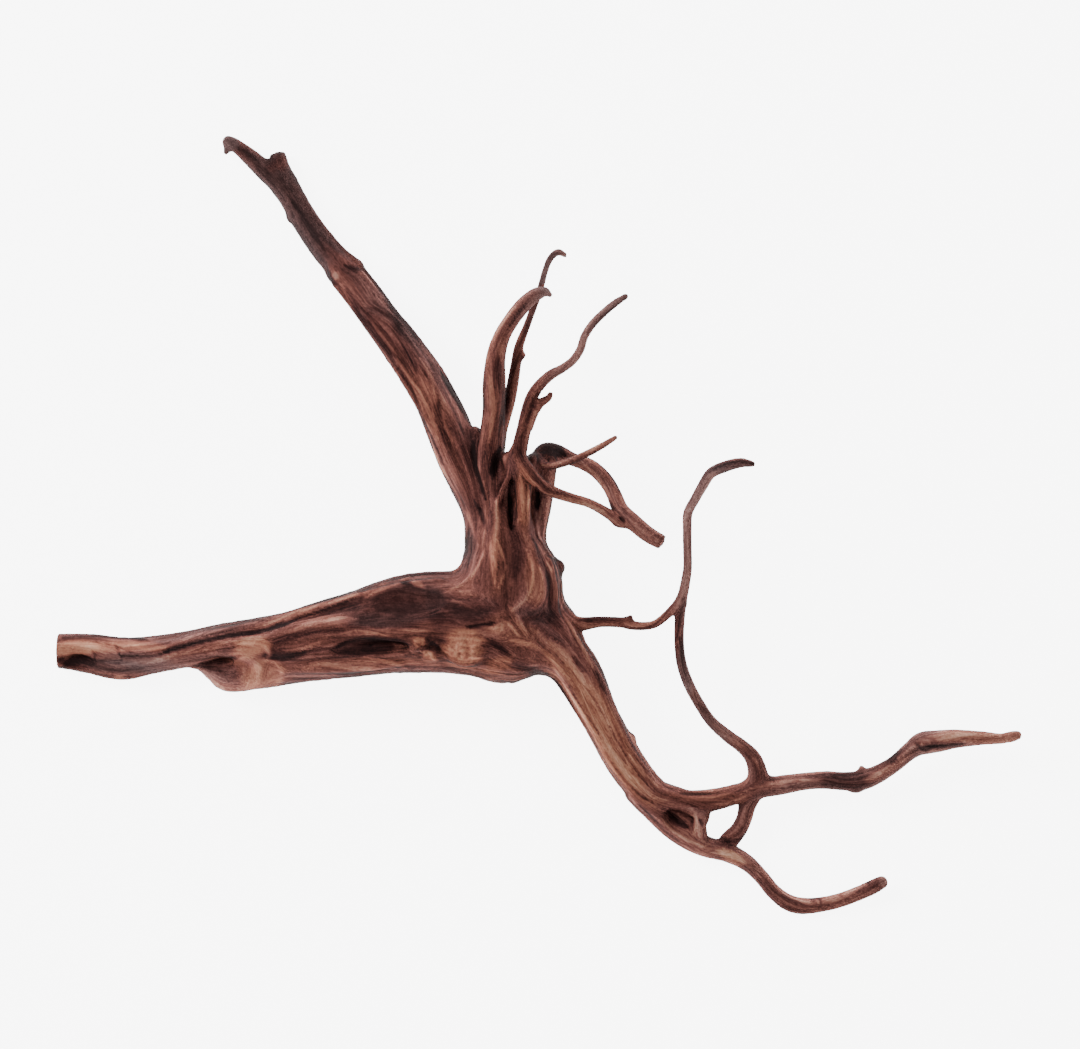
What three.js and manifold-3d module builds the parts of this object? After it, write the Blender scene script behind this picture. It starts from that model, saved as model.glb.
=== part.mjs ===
// A branching piece of snake wood, lying on its back: one solid root, all grown together.
// Millimetres, +Z up. The table is z = 0, and the origin lies under the middle of the piece.
import * as THREE from "three";
import { mergeVertices } from "three/addons/utils/BufferGeometryUtils.js";
import Module from "manifold-3d";

// Driving dimensions
const SAWN_END_X = -242.5; // the log's left end is sawn square to its length
const RING_SHARE = 0.45; // spacing of a limb's rings, as a share of its thickest half width
const RING_STEP = [7.8, 10.5]; // the least and most spacing of the rings
const FLUTE_DEPTH = 0.05; // share of the radius that the long flutes rise and fall
const RIB_SIDES = 6;
const RIB_STEP = 11; // spacing of the rings along a rib
const RIB_DEPTH = 0.85; // a rib's half depth, as a share of its half width
const CENTRING = new THREE.Vector3(1.3, 0.57, 0); // moves the finished solid's box over the origin
const COLOUR = 0x6b4036;

// Each limb follows its pith through points [x, y, z, half width, half depth], thick end first
// where it has one. Half width is seen from above, and half depth from the side.
// ends: what closes the first and the last ring, round or flat.
const LIMBS = {
  log: {
    sides: 18,
    ends: ["flat", "round"],
    points: [
      [-248, -63.9, 8.2, 8.3, 8],
      [-238, -64.1, 8.4, 8.7, 8.2],
      [-225, -65.4, 8.6, 9.9, 8.7],
      [-210, -67.8, 8.6, 10.7, 9.2],
      [-195, -65.9, 9.5, 9.4, 9],
      [-177.5, -62.9, 11.2, 9, 9.2],
      [-160, -59.6, 14, 9.6, 11],
      [-140, -59.9, 17.5, 13.7, 14],
      [-120, -59.2, 21, 17.6, 17.5],
      [-95, -54.9, 25, 20.9, 21],
      [-70, -49.5, 28.5, 24.1, 24.5],
      [-50, -48.2, 30, 25.4, 26],
      [-30, -50, 30.5, 25.5, 27],
      [-13, -52, 30, 25.2, 26],
      [1, -54.5, 29, 19, 21],
    ],
  },
  collar: {
    sides: 12,
    ends: ["round", "flat"],
    points: [
      [-171, -69, 10, 3.4, 4.5],
      [-163, -71.2, 10.5, 8.2, 7.5],
      [-156, -72.8, 11, 11, 9.5],
      [-145, -72.3, 13, 10.5, 11],
      [-127.5, -70.6, 16, 9.5, 12],
      [-108, -67, 19, 8.3, 12],
    ],
  },
  strand: {
    sides: 8,
    ends: ["round", "round"],
    points: [
      [-197, -69, 13, 4, 4],
      [-176, -65.2, 16.5, 4.3, 4.5],
      [-158, -61.4, 21.5, 4.5, 4.8],
      [-147, -62.2, 26, 5.2, 5],
      [-139.5, -67.5, 25.5, 5, 4.6],
      [-138, -76, 18.5, 4, 4],
    ],
  },
  trunk: {
    sides: 16,
    ends: ["round", "round"],
    points: [
      [-16, -54.8, 30, 23, 25],
      [-15.5, -38, 31, 27, 27],
      [-15.5, -25, 32, 26.3, 26],
      [-17.2, -12.5, 32.5, 20.8, 23],
      [-18, -6.5, 33, 18.8, 21],
      [-18, 3, 33, 18, 17.5],
      [-19.4, 13, 33, 16, 14],
      [-21.3, 22, 32.5, 11, 11],
    ],
  },
  tall_branch: {
    sides: 12,
    ends: ["flat", "flat"],
    points: [
      [-19, -17.5, 30, 11, 13],
      [-26, 2.5, 30, 10, 12.5],
      [-33.2, 17.5, 30, 10, 12],
      [-40.5, 34, 29.5, 11, 11.8],
      [-45.9, 48.2, 28, 11.6, 11.2],
      [-52.4, 62.5, 26.5, 10.6, 10.8],
      [-59.4, 74.7, 25, 10.6, 10.6],
      [-68.9, 88.2, 22.5, 10, 9.9],
      [-78.7, 101, 20, 9.1, 9.2],
      [-89.4, 115.6, 17, 8.8, 8.8],
      [-98.8, 127.4, 15, 8.6, 8.6],
      [-103.2, 132.9, 13.8, 7.3, 7.7],
      [-107.9, 138.4, 12.5, 7.1, 7.5],
      [-115.9, 149.5, 10, 6.7, 7],
      [-123.7, 162.8, 8, 6.5, 6.7],
      [-128.7, 172, 6.4, 6.6, 7],
      [-130.8, 179, 6.6, 5.3, 6],
      [-131.8, 186.6, 7.2, 3.8, 4.6],
    ],
  },
  crook: {
    sides: 9,
    ends: ["flat", "round"],
    points: [
      [-128.5, 169.5, 7.5, 5, 5],
      [-136, 175.8, 8.3, 5.1, 5.4],
      [-142.5, 181.6, 9.5, 4.6, 4.6],
      [-148.7, 187, 11, 3.9, 3.8],
      [-153.5, 190.6, 12, 3.4, 3.1],
      [-156.7, 192, 12.6, 3.3, 2.8],
    ],
  },
  crook_hook: {
    sides: 6,
    ends: ["flat", "round"],
    points: [
      [-154.6, 190.5, 12, 2.2, 2],
      [-156.8, 188.3, 11.6, 1.8, 1.7],
      [-157.7, 186.7, 11.3, 1.3, 1.4],
    ],
  },
  fork_web: {
    sides: 7,
    ends: ["round", "round"],
    points: [
      [-30, 26, 33, 5, 7],
      [-31.6, 36.5, 33.5, 4.8, 6],
      [-32.2, 45.3, 34, 3.6, 5],
    ],
  },
  horn: {
    sides: 11,
    ends: ["flat", "round"],
    points: [
      [-21.5, -3, 33, 7, 8],
      [-24.5, 12.5, 37, 6.9, 8],
      [-25, 27.3, 40, 6.4, 7.4],
      [-24.2, 42.3, 43, 6, 6.8],
      [-22.9, 56, 46, 5.5, 6.4],
      [-22.7, 69.2, 49, 5.6, 5.6],
      [-21.9, 81.5, 52, 4.8, 4.8],
      [-19.1, 92, 55, 4.2, 4.2],
      [-14, 100.7, 57.5, 3.9, 3.9],
      [-8.1, 108, 59.5, 3.8, 3.7],
      [-2.1, 112.9, 61, 3.4, 3.3],
      [2.4, 114.2, 61.5, 2.5, 2.4],
      [4.8, 112.8, 61.3, 1.4, 1.4],
    ],
  },
  reed: {
    sides: 7,
    ends: ["flat", "round"],
    points: [
      [-23, 27, 36, 3.65, 4.25],
      [-21, 36, 38, 3.45, 4.25],
      [-19.3, 47.2, 39, 3.25, 4.05],
      [-16.1, 58.6, 39, 3.15, 3.65],
      [-13.9, 68, 38.5, 2.95, 3.15],
      [-12, 79, 39, 2.65, 2.75],
      [-10.4, 88.3, 40.5, 2.35, 2.45],
      [-6.7, 98, 42, 1.85, 1.95],
      [-3.2, 107.4, 44, 1.75, 1.75],
      [0, 116.2, 46, 1.75, 1.75],
      [2.7, 125.8, 48, 1.65, 1.65],
      [5.2, 131.5, 49.5, 1.75, 1.65],
      [8.9, 134.4, 50.5, 1.75, 1.65],
      [12.4, 132.9, 51, 1.35, 1.35],
    ],
  },
  whip: {
    sides: 7,
    ends: ["flat", "round"],
    points: [
      [-11.9, 26.1, 50, 4.15, 4.35],
      [-10.3, 36.9, 53, 3.85, 3.95],
      [-8.1, 46.7, 56, 3.55, 3.55],
      [-6.1, 56.3, 58, 3.25, 3.25],
      [-4.1, 62.7, 60, 2.95, 2.95],
      [-0.4, 68.2, 62.5, 2.75, 2.65],
      [5.2, 73.3, 65, 2.55, 2.45],
      [10.8, 76.3, 67.5, 2.25, 2.15],
      [16.1, 80.2, 70, 2.15, 2.15],
      [19.7, 85.5, 72, 2.15, 2.05],
      [21.7, 91.7, 74, 2.05, 1.95],
      [25.6, 97.7, 76, 2.05, 1.95],
      [30.8, 102.9, 78.5, 1.95, 1.85],
      [36.5, 107.6, 81, 1.85, 1.65],
      [41.8, 111, 83, 1.45, 1.35],
    ],
  },
  whip_fork: {
    sides: 6,
    ends: ["flat", "round"],
    points: [
      [-6, 47.7, 57, 2.4, 2.3],
      [-3.2, 54.6, 58.5, 2.4, 2.2],
      [0.3, 59.4, 60, 2, 1.8],
      [4.2, 62.2, 61, 1.7, 1.6],
      [5.2, 64.5, 61.5, 1.1, 1],
    ],
  },
  front_stem: {
    sides: 9,
    ends: ["round", "round"],
    points: [
      [-7.6, -13, 45, 4.4, 5],
      [-8.2, -2.5, 47.5, 4.2, 4.6],
      [-8.4, 6.4, 50, 3.9, 4.2],
      [-8.4, 14.8, 52, 3.8, 4],
      [-9, 23.2, 53, 4.1, 4.1],
      [-11.3, 31, 53.5, 4.5, 4.4],
      [-12.3, 34.4, 53.5, 3.4, 3.4],
    ],
  },
  knuckle: {
    sides: 9,
    ends: ["round", "round"],
    points: [
      [-22, 17, 40, 4, 5],
      [-19, 25, 43, 5, 5.5],
      [-16.5, 31, 46, 4.6, 5],
      [-12.5, 33, 50.5, 3.6, 4],
    ],
  },
  lace: {
    sides: 6,
    ends: ["round", "round"],
    points: [
      [-13, 31.5, 54, 2, 2],
      [-15.4, 23.2, 53, 1.7, 1.7],
      [-18.4, 16.3, 51, 1.8, 1.8],
      [-21, 9, 47.5, 1.6, 1.8],
    ],
  },
  brace: {
    sides: 8,
    ends: ["flat", "flat"],
    points: [
      [-11.8, 33, 54, 3.8, 3.8],
      [-6.9, 27, 57, 3.8, 3.6],
      [-1, 20.6, 57, 3.2, 3.1],
      [5.9, 16.3, 54, 3, 2.9],
      [14.8, 13.2, 50, 2.6, 2.5],
      [23.7, 10.7, 47, 2.4, 2.3],
      [31.4, 6.8, 44, 2.6, 2.5],
      [37.8, 2.6, 42, 3, 2.8],
    ],
  },
  cane: {
    sides: 10,
    ends: ["flat", "flat"],
    points: [
      [-2.5, -16, 33, 5.5, 6.5],
      [-1.6, -3, 35, 4.8, 6],
      [0.3, 7.5, 37, 5.1, 5.7],
      [1.5, 17.4, 38, 5.5, 5.6],
      [2.1, 26.8, 37, 6, 5.8],
      [2.8, 34, 33, 6.4, 6],
      [8.8, 35.2, 28.8, 4.7, 4.8],
      [16, 32.6, 27.8, 3.3, 3.6],
      [25.5, 28.7, 29.5, 3.7, 3.8],
      [32.3, 22.4, 32.5, 3.8, 3.9],
      [36.6, 15.3, 35.5, 3.8, 3.9],
      [40.2, 7, 38.5, 4.2, 4],
      [46.8, 0.6, 41, 4.3, 4.2],
      [53.6, -5, 43, 4.1, 4],
      [60.4, -8.9, 44.5, 3.7, 3.7],
    ],
  },
  spur: {
    sides: 6,
    ends: ["flat", "round"],
    points: [
      [0, 28.7, 41.5, 2, 2],
      [7.9, 29.3, 46, 1.9, 1.8],
      [15.9, 31.7, 51, 1.9, 1.8],
      [23.4, 34.9, 56, 1.8, 1.7],
      [30.7, 38.8, 61, 1.7, 1.5],
      [37, 42.6, 66, 1.3, 1.2],
    ],
  },
  rootlet: {
    sides: 8,
    ends: ["flat", "flat"],
    points: [
      [6, -42, 32, 6.15, 7.15],
      [13.5, -47.5, 34, 4.75, 4.95],
      [19.5, -49.4, 35.2, 3.75, 3.55],
      [29.8, -48.3, 37.5, 2.75, 2.55],
      [39.7, -48.5, 39.5, 2.65, 2.45],
      [45.6, -49.9, 41, 2.35, 2.25],
      [52, -50.2, 43, 2.15, 2.05],
      [57.2, -49, 45, 2.05, 1.95],
      [61.9, -45.4, 47, 2.15, 2.05],
      [66.2, -41.2, 48.5, 2.35, 2.15],
      [70, -37.5, 50.5, 2.95, 2.35],
    ],
  },
  rootlet_nub: {
    sides: 6,
    ends: ["flat", "round"],
    points: [
      [42.4, -48.6, 40, 2.4, 2.2],
      [44.2, -46.8, 40.8, 2, 1.8],
      [44.9, -45.6, 41.2, 1.3, 1.2],
    ],
  },
  runner: {
    sides: 7,
    ends: ["round", "flat"],
    points: [
      [103, 29.3, 88, 1.55, 1.65],
      [97.1, 29.9, 86, 2.45, 2.45],
      [89.7, 28, 83, 2.85, 2.75],
      [83.3, 25, 80, 2.75, 2.65],
      [79.5, 19.2, 77, 2.65, 2.55],
      [75.7, 12.2, 73, 2.45, 2.35],
      [72.4, 5.4, 69, 2.45, 2.35],
      [72.2, -3.4, 65, 2.35, 2.25],
      [72.4, -12.3, 61, 2.35, 2.25],
      [72.6, -21.2, 57, 2.35, 2.25],
      [71.4, -30, 53, 2.55, 2.35],
      [69.8, -39, 49, 2.65, 2.45],
      [69, -49.4, 45, 2.55, 2.35],
      [69, -59.4, 41, 2.45, 2.35],
      [70.3, -69.1, 37.5, 2.55, 2.45],
      [73.7, -78.9, 34.5, 2.65, 2.55],
      [79, -88.8, 31.5, 2.65, 2.55],
      [85.2, -97.9, 29, 2.75, 2.65],
      [93.6, -105.4, 26.5, 3.15, 3.05],
      [101.1, -111, 24, 3.45, 3.45],
      [106.2, -116.6, 21.5, 4.15, 3.95],
      [108.6, -123.5, 19, 4.95, 4.35],
      [109, -130, 17, 6.05, 4.55],
    ],
  },
  leg: {
    sides: 14,
    ends: ["round", "round"],
    points: [
      [-7.5, -42.5, 30, 14, 16],
      [2.5, -55, 30, 13, 15],
      [13, -65.8, 29, 12.3, 13.5],
      [20.3, -76, 27.5, 11.5, 12],
      [28.8, -94, 24.5, 9.8, 10.5],
      [38.3, -111.5, 21.5, 9.6, 9.8],
      [46.8, -124.8, 19, 9.4, 9.2],
      [56, -136, 17, 8.6, 8.2],
      [66, -138.5, 16.3, 6.4, 6.8],
    ],
  },
  right_arm: {
    sides: 10,
    ends: ["flat", "round"],
    points: [
      [56, -134.5, 17, 6.5, 7],
      [66, -138, 16.5, 6.4, 6.6],
      [76, -139.5, 16, 6.3, 6],
      [89.5, -137.4, 16, 5.5, 5.2],
      [105, -133.3, 16, 4.9, 4.8],
      [120, -130.7, 15.5, 4.9, 4.7],
      [132.5, -128.7, 14.5, 4.4, 4.4],
      [142.5, -128, 14, 4.5, 4.3],
      [152.5, -128.5, 14.5, 4.6, 4.4],
      [160, -128.2, 15, 5, 4.6],
      [168.2, -125.3, 16, 4.6, 4.3],
      [177.3, -119.7, 18, 4.1, 4.1],
      [184.8, -113.2, 20.5, 4.4, 4.2],
      [190.6, -109.4, 22, 5.6, 4.6],
      [197.5, -108.3, 23, 5.5, 4.6],
      [207.5, -106.9, 24.5, 4.7, 4.2],
      [220, -106.4, 26.5, 3.6, 3.5],
      [229.5, -106.6, 28, 2.7, 2.8],
      [235, -105.5, 29, 2.8, 2.7],
      [237.6, -104.9, 29.4, 2.4, 2.4],
    ],
  },
  foot: {
    sides: 10,
    ends: ["flat", "round"],
    points: [
      [50.8, -131.8, 18, 8, 8],
      [60.8, -144.6, 15, 7.2, 7],
      [70.7, -154.5, 13, 6.2, 6],
      [82, -161.1, 10.8, 5.5, 5.3],
      [94, -164.7, 8.8, 4.8, 4.7],
      [103.8, -169.8, 7, 4.1, 4.3],
      [111.2, -176.9, 5.2, 3.7, 4],
      [117.5, -184.6, 3.9, 3.8, 4],
      [124.4, -189.9, 3.3, 4.2, 4],
      [131.5, -191.9, 3.3, 4.2, 3.9],
      [140, -191.4, 4, 3.8, 3.8],
      [150, -189.3, 5.2, 3.6, 3.6],
      [160, -185.5, 7, 3.6, 3.5],
      [167.3, -182, 9, 3.6, 3.4],
      [171.6, -179.6, 10.4, 3.2, 3],
    ],
  },
  web: {
    sides: 9,
    ends: ["round", "round"],
    points: [
      [59, -138.5, 12, 7.5, 5],
      [67, -146, 11, 8, 5],
      [75, -151, 10.5, 6, 4],
    ],
  },
  bridge: {
    sides: 8,
    ends: ["flat", "flat"],
    points: [
      [107.2, -133.5, 15, 4.8, 3.8],
      [103.9, -141.3, 14, 4.3, 3.4],
      [102.4, -147.5, 13, 4, 3.4],
      [99.3, -153.6, 12, 4.3, 3.5],
      [94.6, -158.8, 11, 4.7, 3.8],
      [92, -163, 10, 3.2, 3],
    ],
  },
  tie: {
    sides: 8,
    ends: ["flat", "flat"],
    points: [
      [76.5, -140, 17, 4.8, 3.6],
      [80.6, -145.2, 17.5, 4.4, 3.2],
      [79.8, -150.5, 17, 3.5, 3],
      [79.6, -155.5, 15, 4.2, 3.2],
      [78, -160, 12.5, 4, 3],
    ],
  },
  backing: {
    sides: 7,
    ends: ["round", "round"],
    points: [
      [-12, 2, 35, 6, 10],
      [-8.5, 12, 36.5, 6.5, 10.5],
      [-6, 22, 38, 6, 10.5],
      [-3, 30.5, 38, 5, 9],
    ],
  },
};

// Strands that stand proud of the wood they run along, through points
// [x, y, half width, how far it stands proud]. Their height follows the limb beneath.
const RIBS = {
  tongue: [
    [-22.7, 12.3, 2.4, 0.6],
    [-21.7, -2.5, 3, 1.6],
    [-21.2, -17.2, 3.4, 2.2],
    [-20.7, -29.6, 2, 0.3],
  ],
  swirl: [
    [-5, -9.9, 2.4, 0.8],
    [-3, -19.7, 3, 1.6],
    [0.5, -31, 3.3, 1.9],
    [-2, -38.9, 3.2, 1.8],
    [-8.9, -45.8, 2.9, 1.4],
    [-17.2, -54.2, 2, 0.2],
  ],
  flank: [
    [4, -18, 2, 0.3],
    [6.5, -32, 2.6, 1],
    [7.2, -44, 2.6, 1],
    [13.5, -57, 2, 0.2],
  ],
  eyebrow: [
    [-182.5, -60.4, 2.2, 0.3],
    [-167.3, -56.6, 3, 1],
    [-149.6, -53.1, 3.5, 1.3],
    [-129.5, -48.3, 3.8, 1.4],
    [-109.3, -42.6, 3.8, 1.4],
    [-89.3, -36.8, 3.6, 1.3],
    [-69.3, -31.8, 3.2, 1],
    [-49.3, -28.5, 2.2, 0.2],
  ],
  ridge: [
    [-138, -57.1, 3.4, 0.4],
    [-124.1, -53.1, 4.8, 1.6],
    [-104.2, -52.1, 5.4, 1.9],
    [-84.3, -52.1, 5.4, 1.7],
    [-64.5, -54.1, 4.6, 1.2],
    [-49.6, -57.1, 3, 0.2],
  ],
  lower_band: [
    [-128, -71, 3.2, 0.3],
    [-109, -70.3, 4, 1.3],
    [-89.4, -69.3, 4, 1.3],
    [-69.5, -67.3, 3, 0.3],
  ],
  leg_left: [
    [3.9, -60.6, 2.5, 0.3],
    [14.2, -77.5, 3, 1.2],
    [26, -98.5, 3, 1.2],
    [37.8, -119.8, 3, 1.2],
    [50, -134.8, 2, 0.2],
  ],
  leg_right: [
    [17.3, -57, 2, 0.3],
    [25.9, -71, 2.6, 1],
    [34.5, -89.8, 2.6, 1],
    [43.4, -110, 2.4, 1],
    [54.5, -127.3, 1.8, 0.2],
  ],
  branch_outer: [
    [-32.6, 5.4, 2, 0.3],
    [-40.6, 23.1, 2.6, 1],
    [-50, 43.4, 2.8, 1.1],
    [-61.2, 63.6, 2.8, 1.1],
    [-74.4, 83.9, 2.6, 1],
    [-90.8, 106.6, 2.4, 0.9],
    [-102.5, 120.5, 1.6, 0.2],
  ],
  branch_inner: [
    [-30.2, 9.9, 2, 0.3],
    [-36.6, 32.2, 2.6, 1],
    [-45.5, 54, 2.8, 1.2],
    [-57, 74.1, 2.6, 1],
    [-69.6, 94.2, 1.8, 0.2],
  ],
};

// Knots, stubs and swellings: ellipsoids [x, y, z, radius along x, y, z].
const KNOTS = [
  [40.3, 0.6, 41.5, 3.8, 2.6, 3.2], // lump where the brace meets the cane
  [9, -21.3, 31, 3.4, 3.6, 5], // bump on the trunk's right flank
  [-60, -59.1, 50.5, 4.4, 3.6, 4], // crumbly knots on the log
  [-54, -64.2, 47.5, 4, 3.2, 4],
  [-36.4, -60.5, 50.6, 11, 9.5, 6.5], // rounded boss beside them
  [-91.9, 129.6, 14, 2.5, 2.6, 3], // knob on the tall branch
  [-103, 124.8, 21, 2.4, 2.2, 2.2],
  [-124.9, 154.2, 8.2, 2, 2.2, 2.4],
  [45.8, -107.4, 22, 2.4, 3, 3.4], // bump on the leg
  [-8.6, 83.8, 39.6, 1.6, 1.6, 1.6], // nub on the reed
  [161, -122.6, 15.5, 1.4, 2.4, 1.6], // twiglet and knob on the right arm
  [158.2, -132.4, 14.5, 2.6, 1.7, 2],
];

// Hollows that rot and water have cut: ellipsoids [x, y, z, radius along x, y, z, turn in degrees].
const HOLLOWS = [
  [-70.5, -39.8, 55.6, 23, 8.6, 8.2, 5], // scooped bowl near the trunk
  [-84.6, -60.4, 49, 20, 2.8, 6, 1], // long slit below the ridge
  [-232, -68.2, 17, 8.5, 3.2, 3.6, 0], // cavity by the sawn end
  [-161.5, -69.6, 21, 8, 3, 4.4, 8], // shadowed notch under the hooked strand
  [68.5, -147.6, 21.5, 6.5, 4.6, 6.5, -35], // recess between the arm and the foot
  [-20.2, 26.8, 48.5, 2.2, 6, 5, 0], // pit beside the horn
  [-14.6, 8.8, 49.5, 2.1, 12, 5.5, 4], // grooves each side of the front stem
  [-2.2, 9.5, 47, 1.7, 9, 5, 0],
];

const wasm = await Module();
wasm.setup();

function solidOf(geometry) {
  geometry.deleteAttribute("normal");
  geometry.deleteAttribute("uv");
  const merged = mergeVertices(geometry, 1e-4);
  return new wasm.Manifold(
    new wasm.Mesh({
      numProp: 3,
      vertProperties: new Float32Array(merged.attributes.position.array),
      triVerts: new Uint32Array(merged.index.array),
    }),
  );
}

const UP = new THREE.Vector3(0, 0, 1);

// The limb's rings: places along its two smooth curves, one of centres and one of half sizes.
// Each has the directions forward, across (level) and over (square to both).
function stationsOf(points, spacing) {
  const centres = points.map((p) => new THREE.Vector3(p[0], p[1], p[2]));
  const halves = points.map((p) => new THREE.Vector3(p[3], p[4], 0));
  const line = new THREE.CatmullRomCurve3(centres, false, "catmullrom", 0.5);
  const size = new THREE.CatmullRomCurve3(halves, false, "catmullrom", 0.5);
  const thickest = Math.max(...points.map((p) => p[3]));
  const step = spacing ?? THREE.MathUtils.clamp(RING_SHARE * thickest, ...RING_STEP);
  const stations = [];
  const spans = points.length - 1;
  let along = 0;
  for (let i = 0; i < spans; i++) {
    const length = centres[i].distanceTo(centres[i + 1]);
    const cuts = Math.max(1, Math.round(length / step));
    for (let j = 0; j < cuts + (i === spans - 1 ? 1 : 0); j++) {
      const t = (i + j / cuts) / spans;
      const forward = line.getTangent(t);
      const across = new THREE.Vector3().crossVectors(UP, forward).normalize();
      const over = new THREE.Vector3().crossVectors(forward, across).normalize();
      const { x: halfWidth, y: halfDepth } = size.getPoint(t);
      const place = { centre: line.getPoint(t), forward, across, over };
      stations.push({ ...place, halfWidth, halfDepth, along: along + (length * j) / cuts });
    }
    along += length;
  }
  return stations;
}

// Flutes and swellings of the wood, as a factor on the radius at an angle round the limb.
function flute(angle, along, phase) {
  const lobes =
    0.5 * Math.cos(3 * angle + phase + along / 55) +
    0.35 * Math.cos(5 * angle - 2 * phase - along / 38) +
    0.15 * Math.sin(along / 7 + 3 * phase);
  return 1 + FLUTE_DEPTH * lobes;
}

function limbSolid({ sides, ends, points, spacing }, phase) {
  const stations = stationsOf(points, spacing);
  const positions = [];
  const indices = [];
  const addRing = (station, shift, share) => {
    const { centre, forward, across, over, halfWidth, halfDepth, along } = station;
    for (let k = 0; k < sides; k++) {
      const angle = (k / sides) * 2 * Math.PI;
      const factor = share * flute(angle, along, phase);
      const point = centre
        .clone()
        .addScaledVector(forward, shift)
        .addScaledVector(across, factor * halfWidth * Math.cos(angle))
        .addScaledVector(over, factor * halfDepth * Math.sin(angle));
      positions.push(...point.toArray());
    }
  };
  const addPole = ({ centre, forward }, shift) => {
    positions.push(...centre.clone().addScaledVector(forward, shift).toArray());
    return positions.length / 3 - 1;
  };
  const first = stations[0];
  const last = stations[stations.length - 1];
  const reach = (station) => Math.min(station.halfWidth, station.halfDepth);
  const [startRound, endRound] = ends.map((end) => end === "round");
  if (startRound) addRing(first, -0.7 * reach(first), 0.7);
  stations.forEach((station) => addRing(station, 0, 1));
  if (endRound) addRing(last, 0.7 * reach(last), 0.7);
  const rings = positions.length / 3 / sides;
  const startPole = addPole(first, startRound ? -reach(first) : 0);
  const endPole = addPole(last, endRound ? reach(last) : 0);
  for (let r = 0; r < rings - 1; r++)
    for (let k = 0; k < sides; k++) {
      const next = (k + 1) % sides;
      const [a, b] = [r * sides + k, r * sides + next];
      const [c, d] = [a + sides, b + sides];
      indices.push(a, b, d, a, d, c);
    }
  const top = (rings - 1) * sides;
  for (let k = 0; k < sides; k++) {
    const next = (k + 1) % sides;
    indices.push(startPole, next, k, endPole, top + k, top + next);
  }
  const geometry = new THREE.BufferGeometry();
  geometry.setAttribute("position", new THREE.Float32BufferAttribute(positions, 3));
  geometry.setIndex(indices);
  return solidOf(geometry);
}

// How high the upper side of the thick limbs is over the point x, y.
const RIB_HOSTS = [LIMBS.log, LIMBS.collar, LIMBS.trunk, LIMBS.tall_branch, LIMBS.leg];
const HOST_STATIONS = RIB_HOSTS.flatMap(({ points }) => stationsOf(points));
const STATION_REACH = 8; // a station speaks for the wood this far along from it

function topOf(x, y) {
  let top = 0;
  for (const { centre, forward, across, halfWidth, halfDepth } of HOST_STATIONS) {
    const offset = new THREE.Vector3(x - centre.x, y - centre.y, 0);
    const side = offset.dot(across) / halfWidth;
    const ahead = offset.dot(forward);
    if (Math.abs(ahead) > STATION_REACH || Math.abs(side) >= 1) continue;
    top = Math.max(top, centre.z + ahead * forward.z + halfDepth * Math.sqrt(1 - side * side));
  }
  return top;
}

function ribSolid(points, phase) {
  const laid = points.map(([x, y, halfWidth, proud]) => {
    const halfDepth = RIB_DEPTH * halfWidth;
    return [x, y, topOf(x, y) + proud - halfDepth, halfWidth, halfDepth];
  });
  const form = { sides: RIB_SIDES, ends: ["round", "round"], spacing: RIB_STEP };
  return limbSolid({ ...form, points: laid }, phase);
}

function ballSolid([x, y, z, rx, ry, rz, turn = 0], segments) {
  const geometry = new THREE.SphereGeometry(1, segments, Math.ceil(segments * 0.7));
  geometry.rotateX(Math.PI / 2);
  geometry.scale(rx, ry, rz);
  geometry.rotateZ(THREE.MathUtils.degToRad(turn));
  geometry.translate(x, y, z);
  return solidOf(geometry);
}

function boxSolid(low, high) {
  const size = new THREE.Vector3().subVectors(high, low);
  const geometry = new THREE.BoxGeometry(size.x, size.y, size.z);
  geometry.translate(...new THREE.Vector3().addVectors(low, high).multiplyScalar(0.5).toArray());
  return solidOf(geometry);
}

function woodSolid() {
  const limbs = Object.values(LIMBS).map((limb, i) => limbSolid(limb, 1.7 * i));
  const ribs = Object.values(RIBS).map((points, i) => ribSolid(points, 2.3 * i));
  const knots = KNOTS.map((knot) => ballSolid(knot, 7));
  const grown = [...limbs, ...ribs, ...knots].reduce((wood, solid) => wood.add(solid));
  const hollowed = HOLLOWS.reduce((wood, hollow) => wood.subtract(ballSolid(hollow, 9)), grown);
  const farther = 400;
  const table = boxSolid(
    new THREE.Vector3(-farther, -farther, -50),
    new THREE.Vector3(farther, farther, 0),
  );
  const offcut = boxSolid(
    new THREE.Vector3(-farther, -farther, -1),
    new THREE.Vector3(SAWN_END_X, farther, 60),
  );
  return hollowed.subtract(table).subtract(offcut);
}

function meshOf(solid, name, material) {
  const { numProp, vertProperties, triVerts } = solid.getMesh();
  const positions = new Float32Array((vertProperties.length / numProp) * 3);
  for (let i = 0; i < positions.length / 3; i++)
    positions.set(vertProperties.subarray(i * numProp, i * numProp + 3), i * 3);
  const geometry = new THREE.BufferGeometry();
  geometry.setAttribute("position", new THREE.BufferAttribute(positions, 3));
  geometry.setIndex(new THREE.BufferAttribute(triVerts, 1));
  geometry.translate(...CENTRING.toArray());
  geometry.computeVertexNormals();
  const mesh = new THREE.Mesh(geometry, material);
  mesh.name = name;
  return mesh;
}

const bark = new THREE.MeshStandardMaterial({ color: COLOUR, roughness: 0.75, metalness: 0 });
const root = new THREE.Group();
root.add(meshOf(woodSolid(), "snake_wood", bark));

export default root;
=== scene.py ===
"""A branching piece of snake wood lying on its back, seen from straight above."""
import math

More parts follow.
